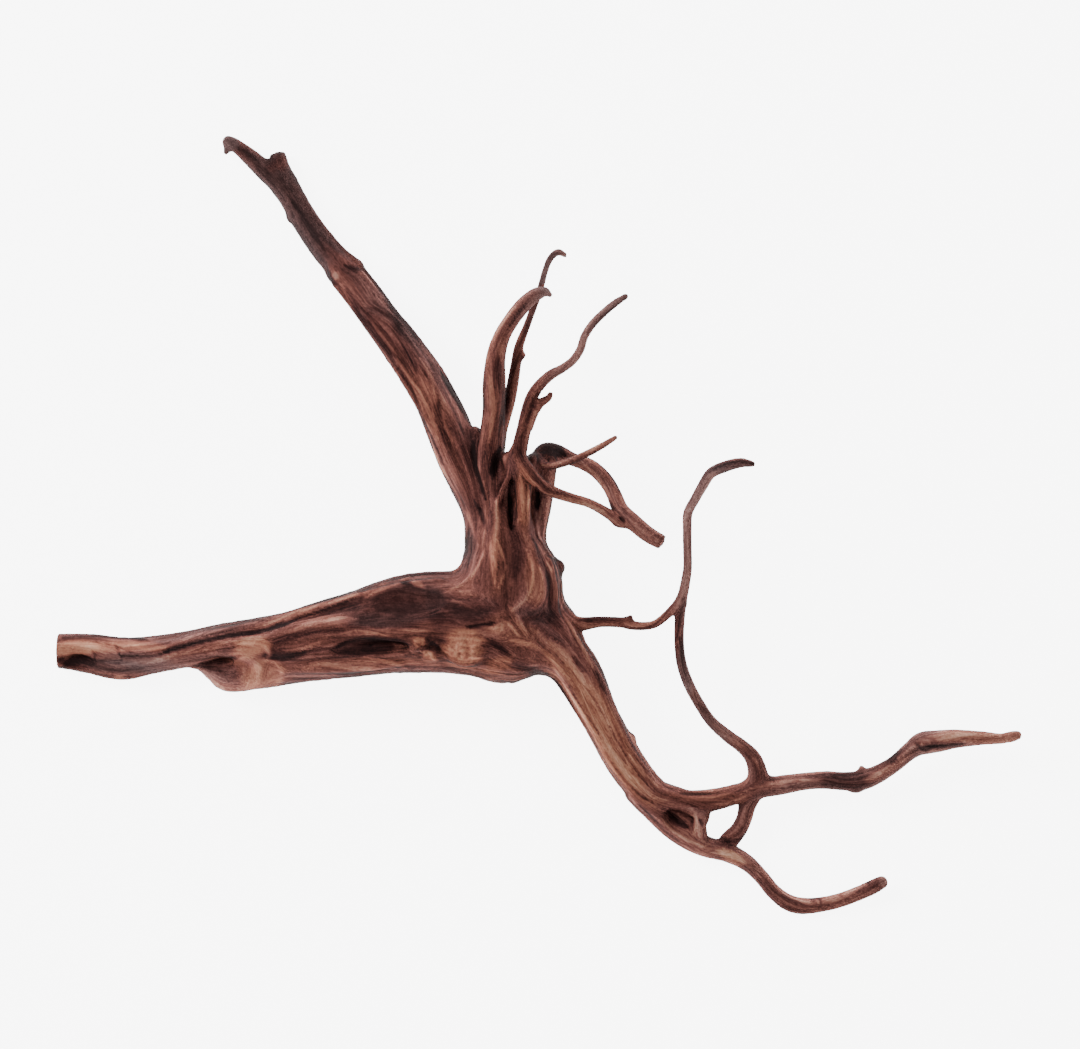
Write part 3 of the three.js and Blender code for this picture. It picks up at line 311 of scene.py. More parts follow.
# Marks of the surface, in the photograph's pixels: tone (below 0 is darker), lift in
# millimetres, half width, and the line's points. The fibres follow these lines, and a
# row with no tone and no lift only guides them.
STROKES = [
    # sawn end and the log's lower left
    (-0.3, 0.2, 2.5, [(57, 638), (90, 637), (122, 638), (150, 641)]),
    (-0.35, -0.5, 4, [(62, 668), (76, 661), (90, 663), (98, 668)]),
    (-0.3, -0.4, 2, [(66, 663), (76, 657), (86, 658), (93, 662)]),
    (-0.35, -0.4, 1.3, [(80, 655), (96, 661), (120, 662), (124, 656), (154, 657), (176, 647)]),
    (-0.25, -0.3, 1, [(112, 645), (128, 652), (140, 655)]),
    (-0.3, -0.3, 1.4, [(92, 649), (94, 655), (95, 661)]),
    (-0.3, -0.3, 1.4, [(115, 645), (118, 651), (120, 657)]),
    (0.2, 0.1, 1.2, [(105, 664), (120, 666), (132, 665)]),
    (0.2, 0.1, 1.2, [(140, 658), (150, 660), (160, 659), (180, 655)]),
    (0.15, 0.3, 3, [(170, 643), (200, 634), (230, 628), (260, 622)]),
    (-0.6, -0.9, 2.2, [(160, 654), (190, 645), (230, 636), (262, 632), (298, 620)]),
    (-0.4, -0.6, 1.3, [(290, 622), (330, 608), (355, 598)]),
    (0.35, 0.4, 1.8, [(262, 627), (275, 622), (300, 612), (340, 600), (362, 593)]),
    (0.2, 0.2, 3, [(150, 663), (200, 650), (240, 640)]),
    (0.35, 0.5, 4, [(232, 643), (252, 641), (265, 644), (270, 653), (266, 662)]),
    (0.25, 0.4, 3, [(274, 662), (282, 671), (279, 682), (273, 690)]),
    (-0.3, -0.6, 4, [(192, 667), (210, 664), (228, 660), (244, 655)]),
    (-0.15, -0.1, 5, [(204, 668), (216, 671), (226, 676)]),
    (0.3, 0.3, 1.5, [(196, 669), (212, 681), (229, 693)]),
    (0, 0, 5, [(254, 662), (251, 676), (249, 692)]),
    (0, 0, 5, [(266, 664), (264, 678), (262, 692)]),
    (0.2, 0.2, 1.3, [(247, 662), (243, 674), (240, 686)]),
    # the log's ridge and slit
    (0.12, 0.4, 4, [(268, 643), (290, 632), (320, 623), (358, 620)]),
    (0.2, 0.2, 2, [(286, 634), (304, 628), (322, 626)]),
    (0.14, 0.2, 2, [(328, 620), (342, 619), (358, 620)]),
    (0.4, 0.3, 1.8, [(356, 631), (376, 634), (396, 638)]),
    (-0.3, -0.5, 5, [(262, 655), (285, 657), (308, 653)]),
    (-0.25, -0.4, 1.5, [(264, 659), (280, 659), (296, 658)]),
    (-0.35, -0.9, 2.6, [(330, 652), (347, 643), (366, 639), (390, 640), (410, 645)]),
    (-0.25, -0.5, 3.5, [(334, 653), (354, 653), (376, 651), (400, 648)]),
    (-0.15, -0.6, 6, [(330, 651), (350, 648), (372, 646), (396, 646)]),
    (0.3, 0.4, 3, [(300, 671), (320, 665), (345, 668), (372, 669), (402, 669)]),
    (0.25, 0.3, 1.6, [(362, 657), (378, 660), (395, 665), (412, 669)]),
    (0.2, 0.2, 2.5, [(300, 651), (316, 643), (330, 637)]),
    (-0.3, -0.3, 2.4, [(296, 640), (322, 632), (348, 631)]),
    # the bowl
    (0.35, 0.5, 2, [(362, 599), (378, 592), (395, 585), (412, 577)]),
    (-0.4, -0.4, 1.8, [(398, 582), (412, 586), (426, 591)]),
    (-0.06, -0.3, 12, [(366, 606), (392, 600), (420, 606)]),
    (0.15, 0.1, 1.5, [(376, 612), (386, 616), (398, 618)]),
    (0.3, 0.4, 2.5, [(358, 626), (380, 630), (405, 631), (428, 632)]),
    # the burl
    (0.35, 0.6, 2.5, [(410, 638), (418, 642), (425, 647)]),
    (0.35, 0.6, 2.5, [(420, 651), (430, 656), (439, 661)]),
    (-0.5, -0.8, 3, [(427, 640), (434, 646), (441, 652)]),
    (-0.45, -0.5, 2, [(462, 629), (478, 626), (500, 622)]),
    (-0.35, -0.5, 3, [(485, 640), (497, 646), (510, 655)]),
    (0.3, 0.3, 1.8, [(488, 657), (502, 664), (515, 672)]),
    (-0.2, -0.3, 6, [(512, 662), (528, 669), (546, 676)]),
    (0.2, 0.2, 2, [(526, 657), (531, 660), (537, 663)]),
    (0.2, 0.2, 1.6, [(446, 600), (462, 604), (478, 612)]),
    (-0.1, -0.3, 6, [(444, 610), (466, 612), (490, 612)]),
    # the trunk
    (-0.3, -0.3, 4, [(467, 540), (462, 556), (450, 570)]),
    (0.35, 0.4, 1.8, [(443, 594), (460, 586), (474, 574), (482, 560), (488, 545)]),
    (0.3, 0.3, 1.5, [(453, 574), (462, 566), (468, 556)]),
    (0.35, 0.5, 1.8, [(490, 536), (491, 555), (493, 572), (496, 590)]),
    (0.35, 0.5, 1.8, [(497, 540), (503, 556), (506, 566), (502, 580), (497, 592)]),
    (-0.15, -0.3, 1.2, [(495, 552), (498, 566), (497, 578)]),
    (0.3, 0.3, 3.5, [(496, 500), (497, 520), (494, 545), (496, 570)]),
    (0.3, 0.4, 1.8, [(526, 550), (532, 566), (532, 585), (524, 601), (504, 616)]),
    (0.25, 0.3, 1.6, [(537, 562), (542, 580), (540, 598), (530, 613)]),
    (0.4, 0.3, 1.5, [(544, 561), (549, 567), (553, 573)]),
    (0.25, 0.3, 1.6, [(551, 562), (560, 580), (563, 598), (560, 612)]),
    (-0.25, -0.4, 5, [(546, 572), (550, 586), (550, 606)]),
    (-0.15, -0.2, 10, [(528, 614), (545, 618), (562, 628)]),
    (0.3, 0.3, 1.6, [(506, 622), (512, 628), (520, 638)]),
    (0.25, 0.2, 4, [(508, 606), (515, 618), (526, 634)]),
    (-0.6, -0.8, 3, [(512, 478), (510, 500), (512, 526)]),
    (-0.5, -0.6, 3, [(536, 486), (538, 500), (536, 514)]),
    (-0.14, -0.3, 9, [(512, 530), (518, 550), (514, 580)]),
    (-0.3, -0.3, 3, [(474, 500), (482, 516), (487, 532)]),
    (0.3, 0.4, 2, [(466, 506), (471, 522), (476, 540)]),
    (0.2, 0.2, 1.6, [(484, 500), (486, 520), (483, 545)]),
    (-0.55, -0.7, 2.4, [(473, 436), (474, 458), (480, 482), (486, 502)]),
    (0.3, 0.3, 1.4, [(479, 436), (478, 460), (482, 480), (490, 500)]),
    (-0.65, -0.9, 4.5, [(500, 448), (494, 466), (492, 480)]),
    (0.25, 0.2, 1.6, [(512, 474), (508, 486), (504, 496)]),
    (0.2, 0.5, 2.6, [(520, 472), (521, 490), (522, 508), (523, 522)]),
    (0.3, 0.3, 1.5, [(528, 484), (528, 500), (526, 516)]),
    (0.3, 0.3, 1.3, [(544, 498), (541, 508), (540, 520)]),
    (0.2, 0.3, 3, [(522, 528), (528, 540), (534, 552)]),
    (-0.4, -0.4, 4, [(556, 545), (562, 556), (570, 562)]),
    # the tall branch
    (0.25, 0.5, 2, [(398, 360), (410, 378), (422, 396), (432, 420), (440, 446)]),
    (0.22, 0.4, 2.5, [(420, 358), (430, 376), (434, 392), (436, 408)]),
    (0.25, 0.2, 1.5, [(364, 312), (374, 326), (386, 342), (400, 358)]),
    (0.1, 0.2, 3, [(366, 324), (378, 334), (390, 346)]),
    (0.25, 0.2, 1.5, [(441, 416), (448, 432), (456, 448)]),
    (0.3, 0.3, 3, [(434, 446), (440, 464), (450, 480)]),
    (-0.28, -0.4, 1.6, [(396, 366), (410, 388), (420, 410), (428, 434)]),
    (-0.2, -0.3, 4, [(402, 344), (412, 360), (418, 374)]),
    (-0.2, -0.3, 4, [(434, 396), (438, 414), (444, 432), (450, 450)]),
    (-0.16, -0.3, 4, [(364, 308), (378, 312), (392, 320), (404, 338)]),
    # painted shade over a shallow groove, down the tall branch's right flank
    (-0.5, -0.3, 3.5, [(440, 372), (452, 392), (464, 412), (472, 426)]),
    (-0.25, -0.2, 2.5, [(288, 196), (300, 212), (312, 232), (326, 252)]),
    (0.2, 0.2, 2, [(302, 190), (316, 214), (330, 236), (342, 254)]),
    (0.2, 0.2, 1.5, [(350, 272), (362, 290), (374, 306)]),
    (0.15, 0.7, 4.2, [(333, 272), (336, 276), (339, 280)]),
    (-0.3, -0.3, 5, [(344, 266), (352, 269), (362, 270)]),
    (-0.15, -0.1, 2, [(330, 266), (328, 276), (336, 284), (343, 280)]),
    (-0.15, -0.3, 3.5, [(236, 146), (248, 154), (260, 162)]),
    (0.25, 0.1, 2, [(226, 140), (228, 144), (229, 148)]),
    (0.15, 0.1, 1.5, [(240, 140), (252, 148), (264, 158)]),
    # horn, reed and whip
    (0.32, 0.3, 2.4, [(489, 442), (492, 424), (494, 406), (491, 388), (488, 372)]),
    (0.3, 0.3, 2, [(487, 370), (488, 352), (496, 334), (508, 316), (520, 304)]),
    (-0.2, -0.3, 4, [(500, 430), (504, 404), (500, 380), (498, 356)]),
    (-0.35, -0.2, 1.8, [(508, 330), (518, 314), (530, 300)]),
    (0.25, 0.2, 1.2, [(520, 360), (528, 340), (534, 316)]),
    (0.35, 0.2, 1.4, [(526, 436), (532, 420), (538, 406)]),
    (-0.4, -0.2, 1.8, [(524, 428), (530, 412), (534, 398)]),
    (0.25, 0.2, 1.6, [(532, 396), (545, 378), (560, 368), (574, 356), (582, 340)]),
    # brace, spur and cane
    (0.35, 0.4, 2.6, [(518, 458), (526, 472), (534, 482), (544, 490)]),
    (0.35, 0.3, 1.6, [(514, 526), (519, 520), (524, 521)]),
    (0.25, 0.2, 1.4, [(524, 460), (534, 472), (546, 484), (560, 492)]),
    (0.3, 0.2, 1.5, [(552, 494), (572, 499), (592, 506), (608, 514)]),
    (0.45, 0.3, 1.5, [(542, 466), (558, 464), (574, 458), (590, 450), (604, 442)]),
    # painted shade over a shallow dip, on the knob where the front stem bends back
    (-0.5, -0.3, 7, [(540, 452), (552, 450), (566, 456)]),
    (0.2, 0.1, 1.2, [(547, 446), (546, 454), (545, 462)]),
    (0.35, 0.3, 2, [(584, 464), (596, 476), (606, 490), (614, 504), (624, 516)]),
    (-0.35, -0.2, 2, [(590, 456), (604, 468), (616, 484), (622, 498)]),
    (-0.55, -0.5, 2, [(619, 517), (622, 520), (626, 523)]),
    (0.25, 0.2, 2, [(626, 516), (638, 528), (652, 538)]),
    (0.25, 0.2, 1.6, [(554, 476), (554, 488), (550, 496)]),
    # the root between the trunk and the rootlet
    (-0.3, 0, 4, [(578, 621), (600, 620), (624, 618)]),
    (0.35, 0, 2.5, [(624, 625), (642, 626), (656, 619), (668, 607)]),
    # the leg
    (0.35, 0.5, 2.5, [(508, 640), (530, 645), (548, 655), (563, 672), (576, 690)]),
    (0.3, 0.4, 2, [(572, 668), (584, 688), (594, 706), (604, 724), (612, 740)]),
    (0.2, 0.4, 2, [(552, 664), (564, 684), (576, 704), (588, 724)]),
    (0.3, 0.3, 1.6, [(566, 620), (578, 640), (590, 664), (600, 688)]),
    (-0.35, -0.4, 1.4, [(566, 664), (578, 680), (590, 694), (600, 710), (608, 722)]),
    (-0.35, -0.4, 1.4, [(568, 686), (580, 706), (592, 724), (602, 740)]),
    (-0.35, -0.4, 1.4, [(608, 724), (618, 742), (630, 762), (640, 778)]),
    (-0.25, -0.4, 3, [(572, 656), (580, 668), (586, 674)]),
    (-0.3, -0.3, 3, [(592, 668), (600, 682), (606, 694)]),
    (0.3, 0.3, 1.8, [(608, 744), (618, 760), (630, 776), (644, 790)]),
    (0.3, 0.3, 1.8, [(626, 752), (640, 768), (652, 782), (668, 792)]),
    (-0.4, -0.4, 1.6, [(612, 764), (624, 780), (640, 796), (654, 804)]),
    (-0.4, -0.4, 1.6, [(632, 766), (640, 776), (650, 788)]),
    (0.25, 0.2, 1.2, [(630, 782), (646, 794), (660, 800), (676, 802)]),
    # the arm, the foot and between
    (0.12, 0.3, 1.6, [(664, 798), (684, 800), (706, 800), (730, 797)]),
    (-0.35, -0.3, 1.4, [(672, 794), (692, 794), (712, 794)]),
    (0.3, 0.2, 1.6, [(738, 794), (758, 788), (780, 784), (812, 780)]),
    (-0.15, -0.2, 3, [(824, 780), (846, 784), (870, 782)]),
    (0.4, 0.2, 2.2, [(776, 781), (796, 780), (814, 780)]),
    (-0.4, -0.2, 2.2, [(880, 766), (892, 758), (902, 750)]),
    (-0.4, -0.3, 2.4, [(914, 742), (924, 750), (936, 746)]),
    (-0.5, -0.3, 1.8, [(811, 902), (813, 898), (819, 899), (821, 904), (815, 907)]),
    (-0.35, -0.3, 2.6, [(697, 819), (701, 823), (703, 827)]),
    (-0.3, -0.2, 3, [(726, 842), (740, 840), (748, 832)]),
    (0.3, 0.2, 2, [(864, 776), (880, 772), (896, 764)]),
    (0.25, 0.2, 1.6, [(900, 758), (914, 748), (932, 742)]),
    (0.22, 0.1, 3, [(934, 742), (960, 736), (990, 736), (1016, 732)]),
    (-0.55, -0.3, 3, [(922, 746), (938, 747), (952, 746), (968, 743)]),
    (0.3, 0.3, 2, [(692, 810), (697, 822), (694, 836)]),
    (-0.5, -0.5, 5, [(668, 812), (676, 820), (688, 828)]),
    (-0.35, -0.3, 1.6, [(640, 806), (654, 820), (668, 834), (684, 846)]),
    (0.3, 0.3, 2, [(660, 818), (674, 832), (692, 842), (712, 850)]),
    (0.25, 0.2, 1.6, [(716, 852), (736, 858), (750, 868), (766, 884)]),
    (-0.3, -0.3, 1.6, [(776, 892), (790, 900), (806, 906)]),
    (0.25, 0.2, 1.6, [(792, 898), (812, 904), (836, 902), (858, 892)]),
    # small marks on the foot, the right root, the tie and the tall branch
    (-0.35, -0.3, 2.5, [(811, 900), (818, 905)]),
    (-0.3, -0.2, 1.8, [(838, 897), (844, 895)]),
    (-0.3, -0.2, 1.8, [(856, 894), (861, 891)]),
    (-0.3, -0.2, 1.8, [(866, 884), (872, 881)]),
    (-0.35, -0.2, 2, [(889, 765), (898, 759)]),
    (0.25, 0.2, 2.5, [(862, 781), (873, 778), (884, 771)]),
    (-0.35, 0, 4, [(720, 838), (732, 846)]),
    (-0.25, -0.2, 3, [(329, 271), (334, 281)]),
    # painted shade along the rims of the leg and the lower rim of the log
    (-0.12, 0, 3, [(553, 674), (570, 702), (596, 748), (621, 782), (647, 811)]),
    (-0.16, 0, 3, [(588, 662), (602, 692), (614, 722), (627, 748), (645, 770)]),
    (-0.13, 0, 3, [(284, 682), (324, 676), (366, 672), (418, 667)]),
]

# Patches of another tone or warmth: x, y, half widths, turn in degrees, tone, warmth.
# A positive turn raises the patch's right end.
PATCHES = [
    (76, 649, 24, 9, 4, 0.19, 0.9),  # stripped wood at the sawn end
    (116, 648, 36, 7, 0, 0.15, 0.8),
    (150, 647, 24, 6, -8, 0.1, 0.7),
    (150, 664, 60, 12, -12, 0.05, -0.5),
    (464, 648, 21, 19, 0, 0.25, 1.2),  # crumbly orange patch of the burl
    (500, 664, 18, 9, 20, 0.08, 0.8),
    (418, 585, 8, 4, -20, 0.2, 0.5),
    (419, 642, 6, 5, 30, 0.26, 0.7),
    (429, 657, 9, 6, -20, 0.2, 0.7),
    (376, 590, 16, 5, 24, 0.12, 0.3),
    (119, 677, 7, 3, 0, 0.2, 0.4),
    (252, 648, 26, 13, 25, 0.24, 0.9),
    (262, 678, 26, 22, 40, 0.13, 0.75),
    (368, 648, 38, 8, 6, -0.12, -0.3),
    (340, 621, 24, 5, 0, 0.07, 0.0),
    (600, 726, 76, 22, -62, 0.19, 1.0),  # bared wood down the leg
    (560, 660, 30, 16, -50, 0.12, 0.6),
    (700, 800, 60, 8, 0, -0.06, 0.4),
    (640, 788, 26, 14, -50, 0.08, 0.3),
    (524, 498, 12, 30, 4, -0.05, 0.9),  # bared front stem
    (426, 404, 12, 60, 28, -0.06, 0.2),
    (990, 736, 60, 9, 0, 0.08, 0.6),
    (404, 604, 54, 24, 8, -0.05, -0.4),
    (436, 608, 10, 24, 8, -0.06, -0.2),
    (322, 624, 38, 9, 14, 0.1, 0.0),
    (262, 636, 26, 6, 22, 0.1, 0.0),
    (356, 668, 60, 6, 4, 0.1, 0.1),
    (345, 612, 40, 12, -14, -0.08, -0.3),
    (350, 632, 130, 52, 6, -0.07, 0.0),
    (470, 611, 34, 14, 10, -0.12, -0.4),
    (511, 565, 10, 42, -4, -0.1, -0.1),  # plum bark between the trunk's bands
    (463, 551, 16, 24, -20, -0.11, -0.35),
    (533, 582, 12, 32, 8, 0.0, 0.45),
    (562, 566, 7, 13, 8, -0.16, -0.2),
    (520, 632, 36, 18, -20, 0.08, 0.5),
    (497, 562, 7, 34, 2, -0.02, 0.35),
    (468, 515, 16, 36, 20, -0.05, 0.0),
    (386, 616, 54, 12, 4, -0.06, -0.3),
    (218, 672, 24, 12, -20, 0.0, -0.4),
    (195, 633, 84, 8, 11, -0.05, -0.5),
    (120, 668, 50, 8, -4, -0.04, -0.6),
    (74, 661, 16, 7, 8, -0.22, -0.2),
    (535, 615, 34, 14, 10, -0.1, -0.3),
    (500, 560, 45, 60, 0, -0.02, 0.1),
    # painted shade on the knob where the front stem bends back
    (545, 452, 24, 12, 5, -0.3, 0.0),
    (735, 468, 26, 8, 10, -0.22, -0.6),
    (296, 200, 62, 92, 0, -0.1, -0.8),  # duller, greyer bark at the tops
    (227, 142, 12, 12, 0, 0.05, -1.2),
    (336, 276, 4.5, 4, -40, 0.26, -0.1),
    (280, 164, 13, 8, 20, 0.04, 0.5),
    (395, 330, 56, 56, 0, -0.09, -0.3),
    (438, 378, 44, 10, -56, -0.14, -0.2),
    (405, 330, 42, 9, -54, -0.12, -0.1),
    (590, 320, 80, 90, 0, 0.05, -0.6),
    (548, 270, 24, 30, 0, 0.0, -0.8),
    (470, 450, 40, 12, -60, -0.05, -0.2),
    (706, 560, 40, 120, 0, 0.08, -0.7),
    (716, 700, 44, 76, -30, 0.12, -0.4),
    (684, 672, 14, 60, -16, -0.04, -0.6),
    (832, 896, 66, 22, 0, 0.14, 0.05),
    (848, 782, 30, 14, 0, -0.16, -0.1),
    (795, 783, 30, 10, 0, 0.12, 0.0),
    (890, 768, 34, 12, 28, -0.05, 0.2),
    (740, 850, 70, 14, -20, 0.06, 0.1),
    (731, 857, 17, 7, -30, 0.2, 0.7),
    (884, 881, 7, 8, 0, 0.24, -0.3),
    (870, 740, 220, 210, 0, 0.09, -0.4),  # the right-hand limbs are greyer
]

# Where the bark is smooth, with little fibre: x, y, half widths, turn, share
CALM = [
    (294, 208, 110, 34, -48, 0.8),
    (398, 604, 58, 22, 12, 0.9),
    (384, 617, 54, 13, 4, 0.8),
    (372, 647, 44, 9, 5, 0.8),
    (505, 565, 44, 58, 0, 0.55),
    (470, 520, 20, 40, 18, 0.55),
    (468, 618, 40, 16, 8, 0.6),
    (258, 664, 30, 30, 0, 0.6),
    (100, 655, 60, 26, 0, 0.4),
    (520, 300, 60, 80, 0, 0.5),
    (545, 620, 40, 24, -30, 0.4),
]

# Where the wood is crumbly: x, y and half widths in the photograph's pixels
CRUMBS = [
    (464, 648, 22, 18),
    (428, 648, 15, 13),
    (500, 626, 16, 10),
]

# Working the surface
SLOPE_REACH = 0.7 * VOXEL
RELAX_ROUNDS = 3
RELAX_SHARE = 0.6  # of the way to the middle of a place's neighbours
RELAX_PULL = 0.4  # the most that a place moves back to the surface, in millimetres
TOP_CELL = 2  # pixels across each cell of the map of the highest wood
TOP_CELLS = (560, 560)
HIDDEN_DEPTH = 8.0  # millimetres below the highest wood where the photograph shows nothing
SEEN_FADE = 5.0
SIDE_SEEN = 0.3  # on the sides, and how fast it rises as a face turns up
TOP_SEEN = 3.0
STROKE_STEP = 2.0  # spacing of the points along a stroke, in pixels
STROKE_TAPER = (0.35, 14)  # its ends thin out over this share of it, or over these pixels
STROKE_BLUR = 0.6
STROKE_MEAN = 0.85  # its strength comes and goes with the fine fibres
STROKE_BREAKS = 0.2
STROKE_LIMITS = (0.3, 1.3)
STROKE_GRAIN = (1.8, 5)  # how much wider than its mark it guides the fibres, and how strongly
GRAIN_REACH = 3.0  # how far a limb's direction is felt beyond its own skin
GRAIN_ROUNDS = 6
NOISES = ((61, 7.0), (62, 3.0), (63, 1.5))  # seed and size of the coarse, medium and fine fibres
FIBRE_STEPS = (36, 26, 14)
FIBRE_STEP = 1.5
RECESS_SHADE_REACHES = (1.5, 3.0, 6.0)  # how far in front of a place other wood is looked for, for the painted shade in hollows and creases

# The bark: a darker film over paler wood, and the relief in millimetres
BLOTCHES = ((71, 14.0, 1.0), (72, 6.0, 0.6))  # seed, size and share
FILM_EDGES = (-0.15, 0.75)
FILM_MIX = (0.5, 0.75, 0.35)  # of the coarse and medium fibres and the blotches
CALM_BLOTCH = 0.15
BARE_TONE = 0.52
FILM_TONE = -0.2
FIBRE_TONE = 0.07
# painted shade: how much darker the tone gets in hollows, creases and forks
RECESS_SHADE_TONE = -0.35
SIDE_SHADE_EDGES = (0.62, 0.0)  # upward part of the normal, on the top and on the sides, between which the painted shade comes in
SIDE_SHADE_TONE = (-0.32, -0.14)  # painted shade on the sides and the underside, and more where they face right, away from the key light
CALM_NOISE = (84, 1.6, 0.05)
BARE_WARMTH = 0.25
FILM_WARMTH = -0.35
COARSE_WARMTH = 0.15
FIBRE_LIFT = (0.22, 0.16, 0.1)  # of the film, the medium and the fine fibres
CRUMB_NOISES = ((81, 3.2, 0.9), (82, 1.8, 0.4))
SKIN_NOISE = (83, 1.6, 0.1)
PATCH_EDGES = (0.55, 1.15)  # shares of a patch's reach between which it fades out
PATCH_FRAY = 0.12
PALE_SHARE = 0.8  # of a pale stroke's tone
CALM_FIBRE = 0.4  # share of the fibres that is left on smooth bark
CRUMB_FIBRE = 0.25  # and on crumbly wood
HELD_HEIGHT = 0.3  # wood lower than this stays flat on the ground
FULL_RELIEF = 11.0  # half thickness from which the relief has its full height
LEAST_RELIEF = 0.18
SAWN_DEPTH = 0.6
SAWN_HEART = (-64.4, 9.0)  # y and z of the middle of the growth rings
SAWN_TONE = 0.4
SAWN_WARMTH = 0.4
RING_SQUEEZE = 1.1
RING_RATE = 3.1  # radians to a millimetre
RING_WAVER = 0.6
RING_TONE = 0.16

# The look: colours as seen on a screen, from the darkest tone to the palest
TONE_STOPS = (0.0, 0.22, 0.42, 0.62, 0.82, 1.0)
PLUM_WOOD = ((30, 16, 16), (60, 33, 31), (97, 58, 53), (133, 86, 77), (164, 120, 107), (188, 145, 129))
TAN_WOOD = ((34, 19, 15), (72, 40, 33), (120, 71, 58), (154, 101, 81), (182, 131, 107), (200, 156, 132))
DUSK_WOOD = ((31, 23, 23), (51, 38, 38), (87, 65, 64), (121, 95, 92), (152, 126, 122), (182, 161, 156))
BAND_NOISE = (1.9, 3.0)  # scale and detail
HAIR_NOISE = (5.5, 3.0)
GRIT_NOISE = (900.0, 3.0)
LUMP_NOISE = (420.0, 2.0)
BAND_SHADE = 0.85
HAIR_SHADE = 0.4
GRIT_SHADE = 0.25
LUMP_SHADE = 0.9
HAIR_HEIGHT = 0.6
GRIT_HEIGHT = 0.4
BUMP_STRENGTH = 0.55
BUMP_DEPTH = 0.0007  # metres
WOOD_ROUGHNESS = 0.8
WOOD_SHEEN = 0.03
FLOOR_COLOUR = (250, 250, 250)
FLOOR_REACH = 4.0  # metres from the middle to each side
FLOOR_ROUGHNESS = 0.9
FLOOR_GLOW = 7.0
SKY_STRENGTH = 0.35
LENS = 150.0
SENSOR = 36.0
LIGHTS = (  # name, place in metres, size across, watts
    ("key", (-1.7, 1.0, 1.9), 1.4, 80.0),
    ("fill", (1.4, -0.4, 2.4), 2.0, 12.0),
)


def spline(values, step):
    """Points along the smooth curve through values, and the share of each span they lie at."""
    values = np.asarray(values, float)
    first = 2 * values[0] - values[1]
    last = 2 * values[-1] - values[-2]
    padded = np.vstack([first, values, last])
    spans = np.linalg.norm(np.diff(values[:, :3], axis=0), axis=1)
    made, slopes, along = [], [], []
    walked = 0.0
    for i, length in enumerate(spans):
        cuts = max(1, round(length / step))
        share = np.arange(cuts + (i == len(spans) - 1)) / cuts
        p0, p1, p2, p3 = padded[i:i + 4]
        t = share[:, None]
        m1, m2 = 0.5 * (p2 - p0), 0.5 * (p3 - p1)
        c3 = 2 * p1 - 2 * p2 + m1 + m2
        c2 = -3 * p1 + 3 * p2 - 2 * m1 - m2
        made.append(((c3 * t + c2) * t + m1) * t + p1)
        slopes.append((3 * c3 * t + 2 * c2) * t + m1)
        along.append(walked + length * share)
        walked += length
    return np.vstack(made), np.vstack(slopes), np.concatenate(along)


def unit(vectors):
    return vectors / np.maximum(np.linalg.norm(vectors, axis=-1, keepdims=True), 1e-9)


def make_limb(points, ends, phase):
    """A limb as dense stations: centres, directions, half sizes and distance along."""
    made, slopes, along = spline(points, STATION_STEP)
    forward = unit(slopes[:, :3])
    across = unit(np.cross([0.0, 0.0, 1.0], forward))
    over = unit(np.cross(forward, across))
    return {
        "centre": made[:, :3],
        "forward": forward,
        "across": across,
        "over": over,
        "half": np.maximum(made[:, 3:5], LEAST_HALF),
        "along": along,
        "round": [end == "round" for end in ends],
        "phase": phase,
    }


def flute(angle, along, phase):
    """How far the skin stands out round a limb: long flutes that wander along it."""
    lobes = (
        0.5 * np.cos(3 * angle + phase + along / 55)
        + 0.35 * np.cos(5 * angle - 2 * phase - along / 38)
        + 0.15 * np.sin(along / 7 + 3 * phase)
    )
    return 1 + FLUTE_DEPTH * lobes


def limb_distance(limb, places, first, last):
    """Signed distance from places to the limb's skin, by its stations from first to last,
    infinite where another stretch of the limb is nearer. Also the nearest station of each."""
    centre = limb["centre"][first:last]
    gaps = (
        (places ** 2).sum(1)[:, None]
        - 2 * places @ centre.T
        + (centre ** 2).sum(1)[None, :]
    )
    near = gaps.argmin(1) + first
    offset = places - limb["centre"][near]
    ahead = (offset * limb["forward"][near]).sum(1)
    side = (offset * limb["across"][near]).sum(1)
    rise = (offset * limb["over"][near]).sum(1)
    half = limb["half"][near]
    a, b = side / half[:, 0], rise / half[:, 1]
    factor = flute(np.arctan2(b, a), limb["along"][near], limb["phase"])
    share = np.hypot(a, b)
    distance = np.hypot(side, rise) * (1 - factor / np.maximum(share, LEAST_SHARE))
    count = len(limb["centre"])
    beyond = np.zeros(len(places), bool)
    for at, sign, is_round in ((0, -1, limb["round"][0]), (count - 1, 1, limb["round"][1])):
        past = (near == at) & (sign * ahead > 0)
        if is_round:
            reach = half[past].min(1) if past.any() else 1.0
            share3 = np.sqrt(share[past] ** 2 + (ahead[past] / reach) ** 2)
            length = np.sqrt(side[past] ** 2 + rise[past] ** 2 + ahead[past] ** 2)
            distance[past] = length * (1 - factor[past] / np.maximum(share3, LEAST_SHARE))
        else:
            distance[past] = np.maximum(distance[past], sign * ahead[past])
    if first > 0:
        beyond |= (near == first) & (ahead < -STATION_STEP)
    if last < count:
        beyond |= (near == last - 1) & (ahead > STATION_STEP)
    distance[beyond] = np.inf
    return distance, near


def stretches(limb):
    """The limb in short runs of stations, each with its box grown by the band."""
    count = len(limb["centre"])
    for first in range(0, count, STRETCH):
        last = min(count, first + STRETCH + 1)
        reach = limb["half"][first:last].max() * (1 + FLUTE_DEPTH) + BAND
        run = limb["centre"][first:last]
        yield first, last, run.min(0) - reach, run.max(0) + reach


def grid_window(low, high):
    """The part of the volume between two corners."""
    i0 = np.clip(np.floor((low - GRID_LOW) / VOXEL).astype(int), 0, GRID_SHAPE)
    i1 = np.clip(np.ceil((high - GRID_LOW) / VOXEL).astype(int) + 1, 0, GRID_SHAPE)
    return tuple(slice(a, b) for a, b in zip(i0, i1))


def window_places(window):
    axes = [GRID_LOW[n] + VOXEL * np.arange(w.start, w.stop) for n, w in enumerate(window)]
    return np.stack(np.meshgrid(*axes, indexing="ij"), -1)


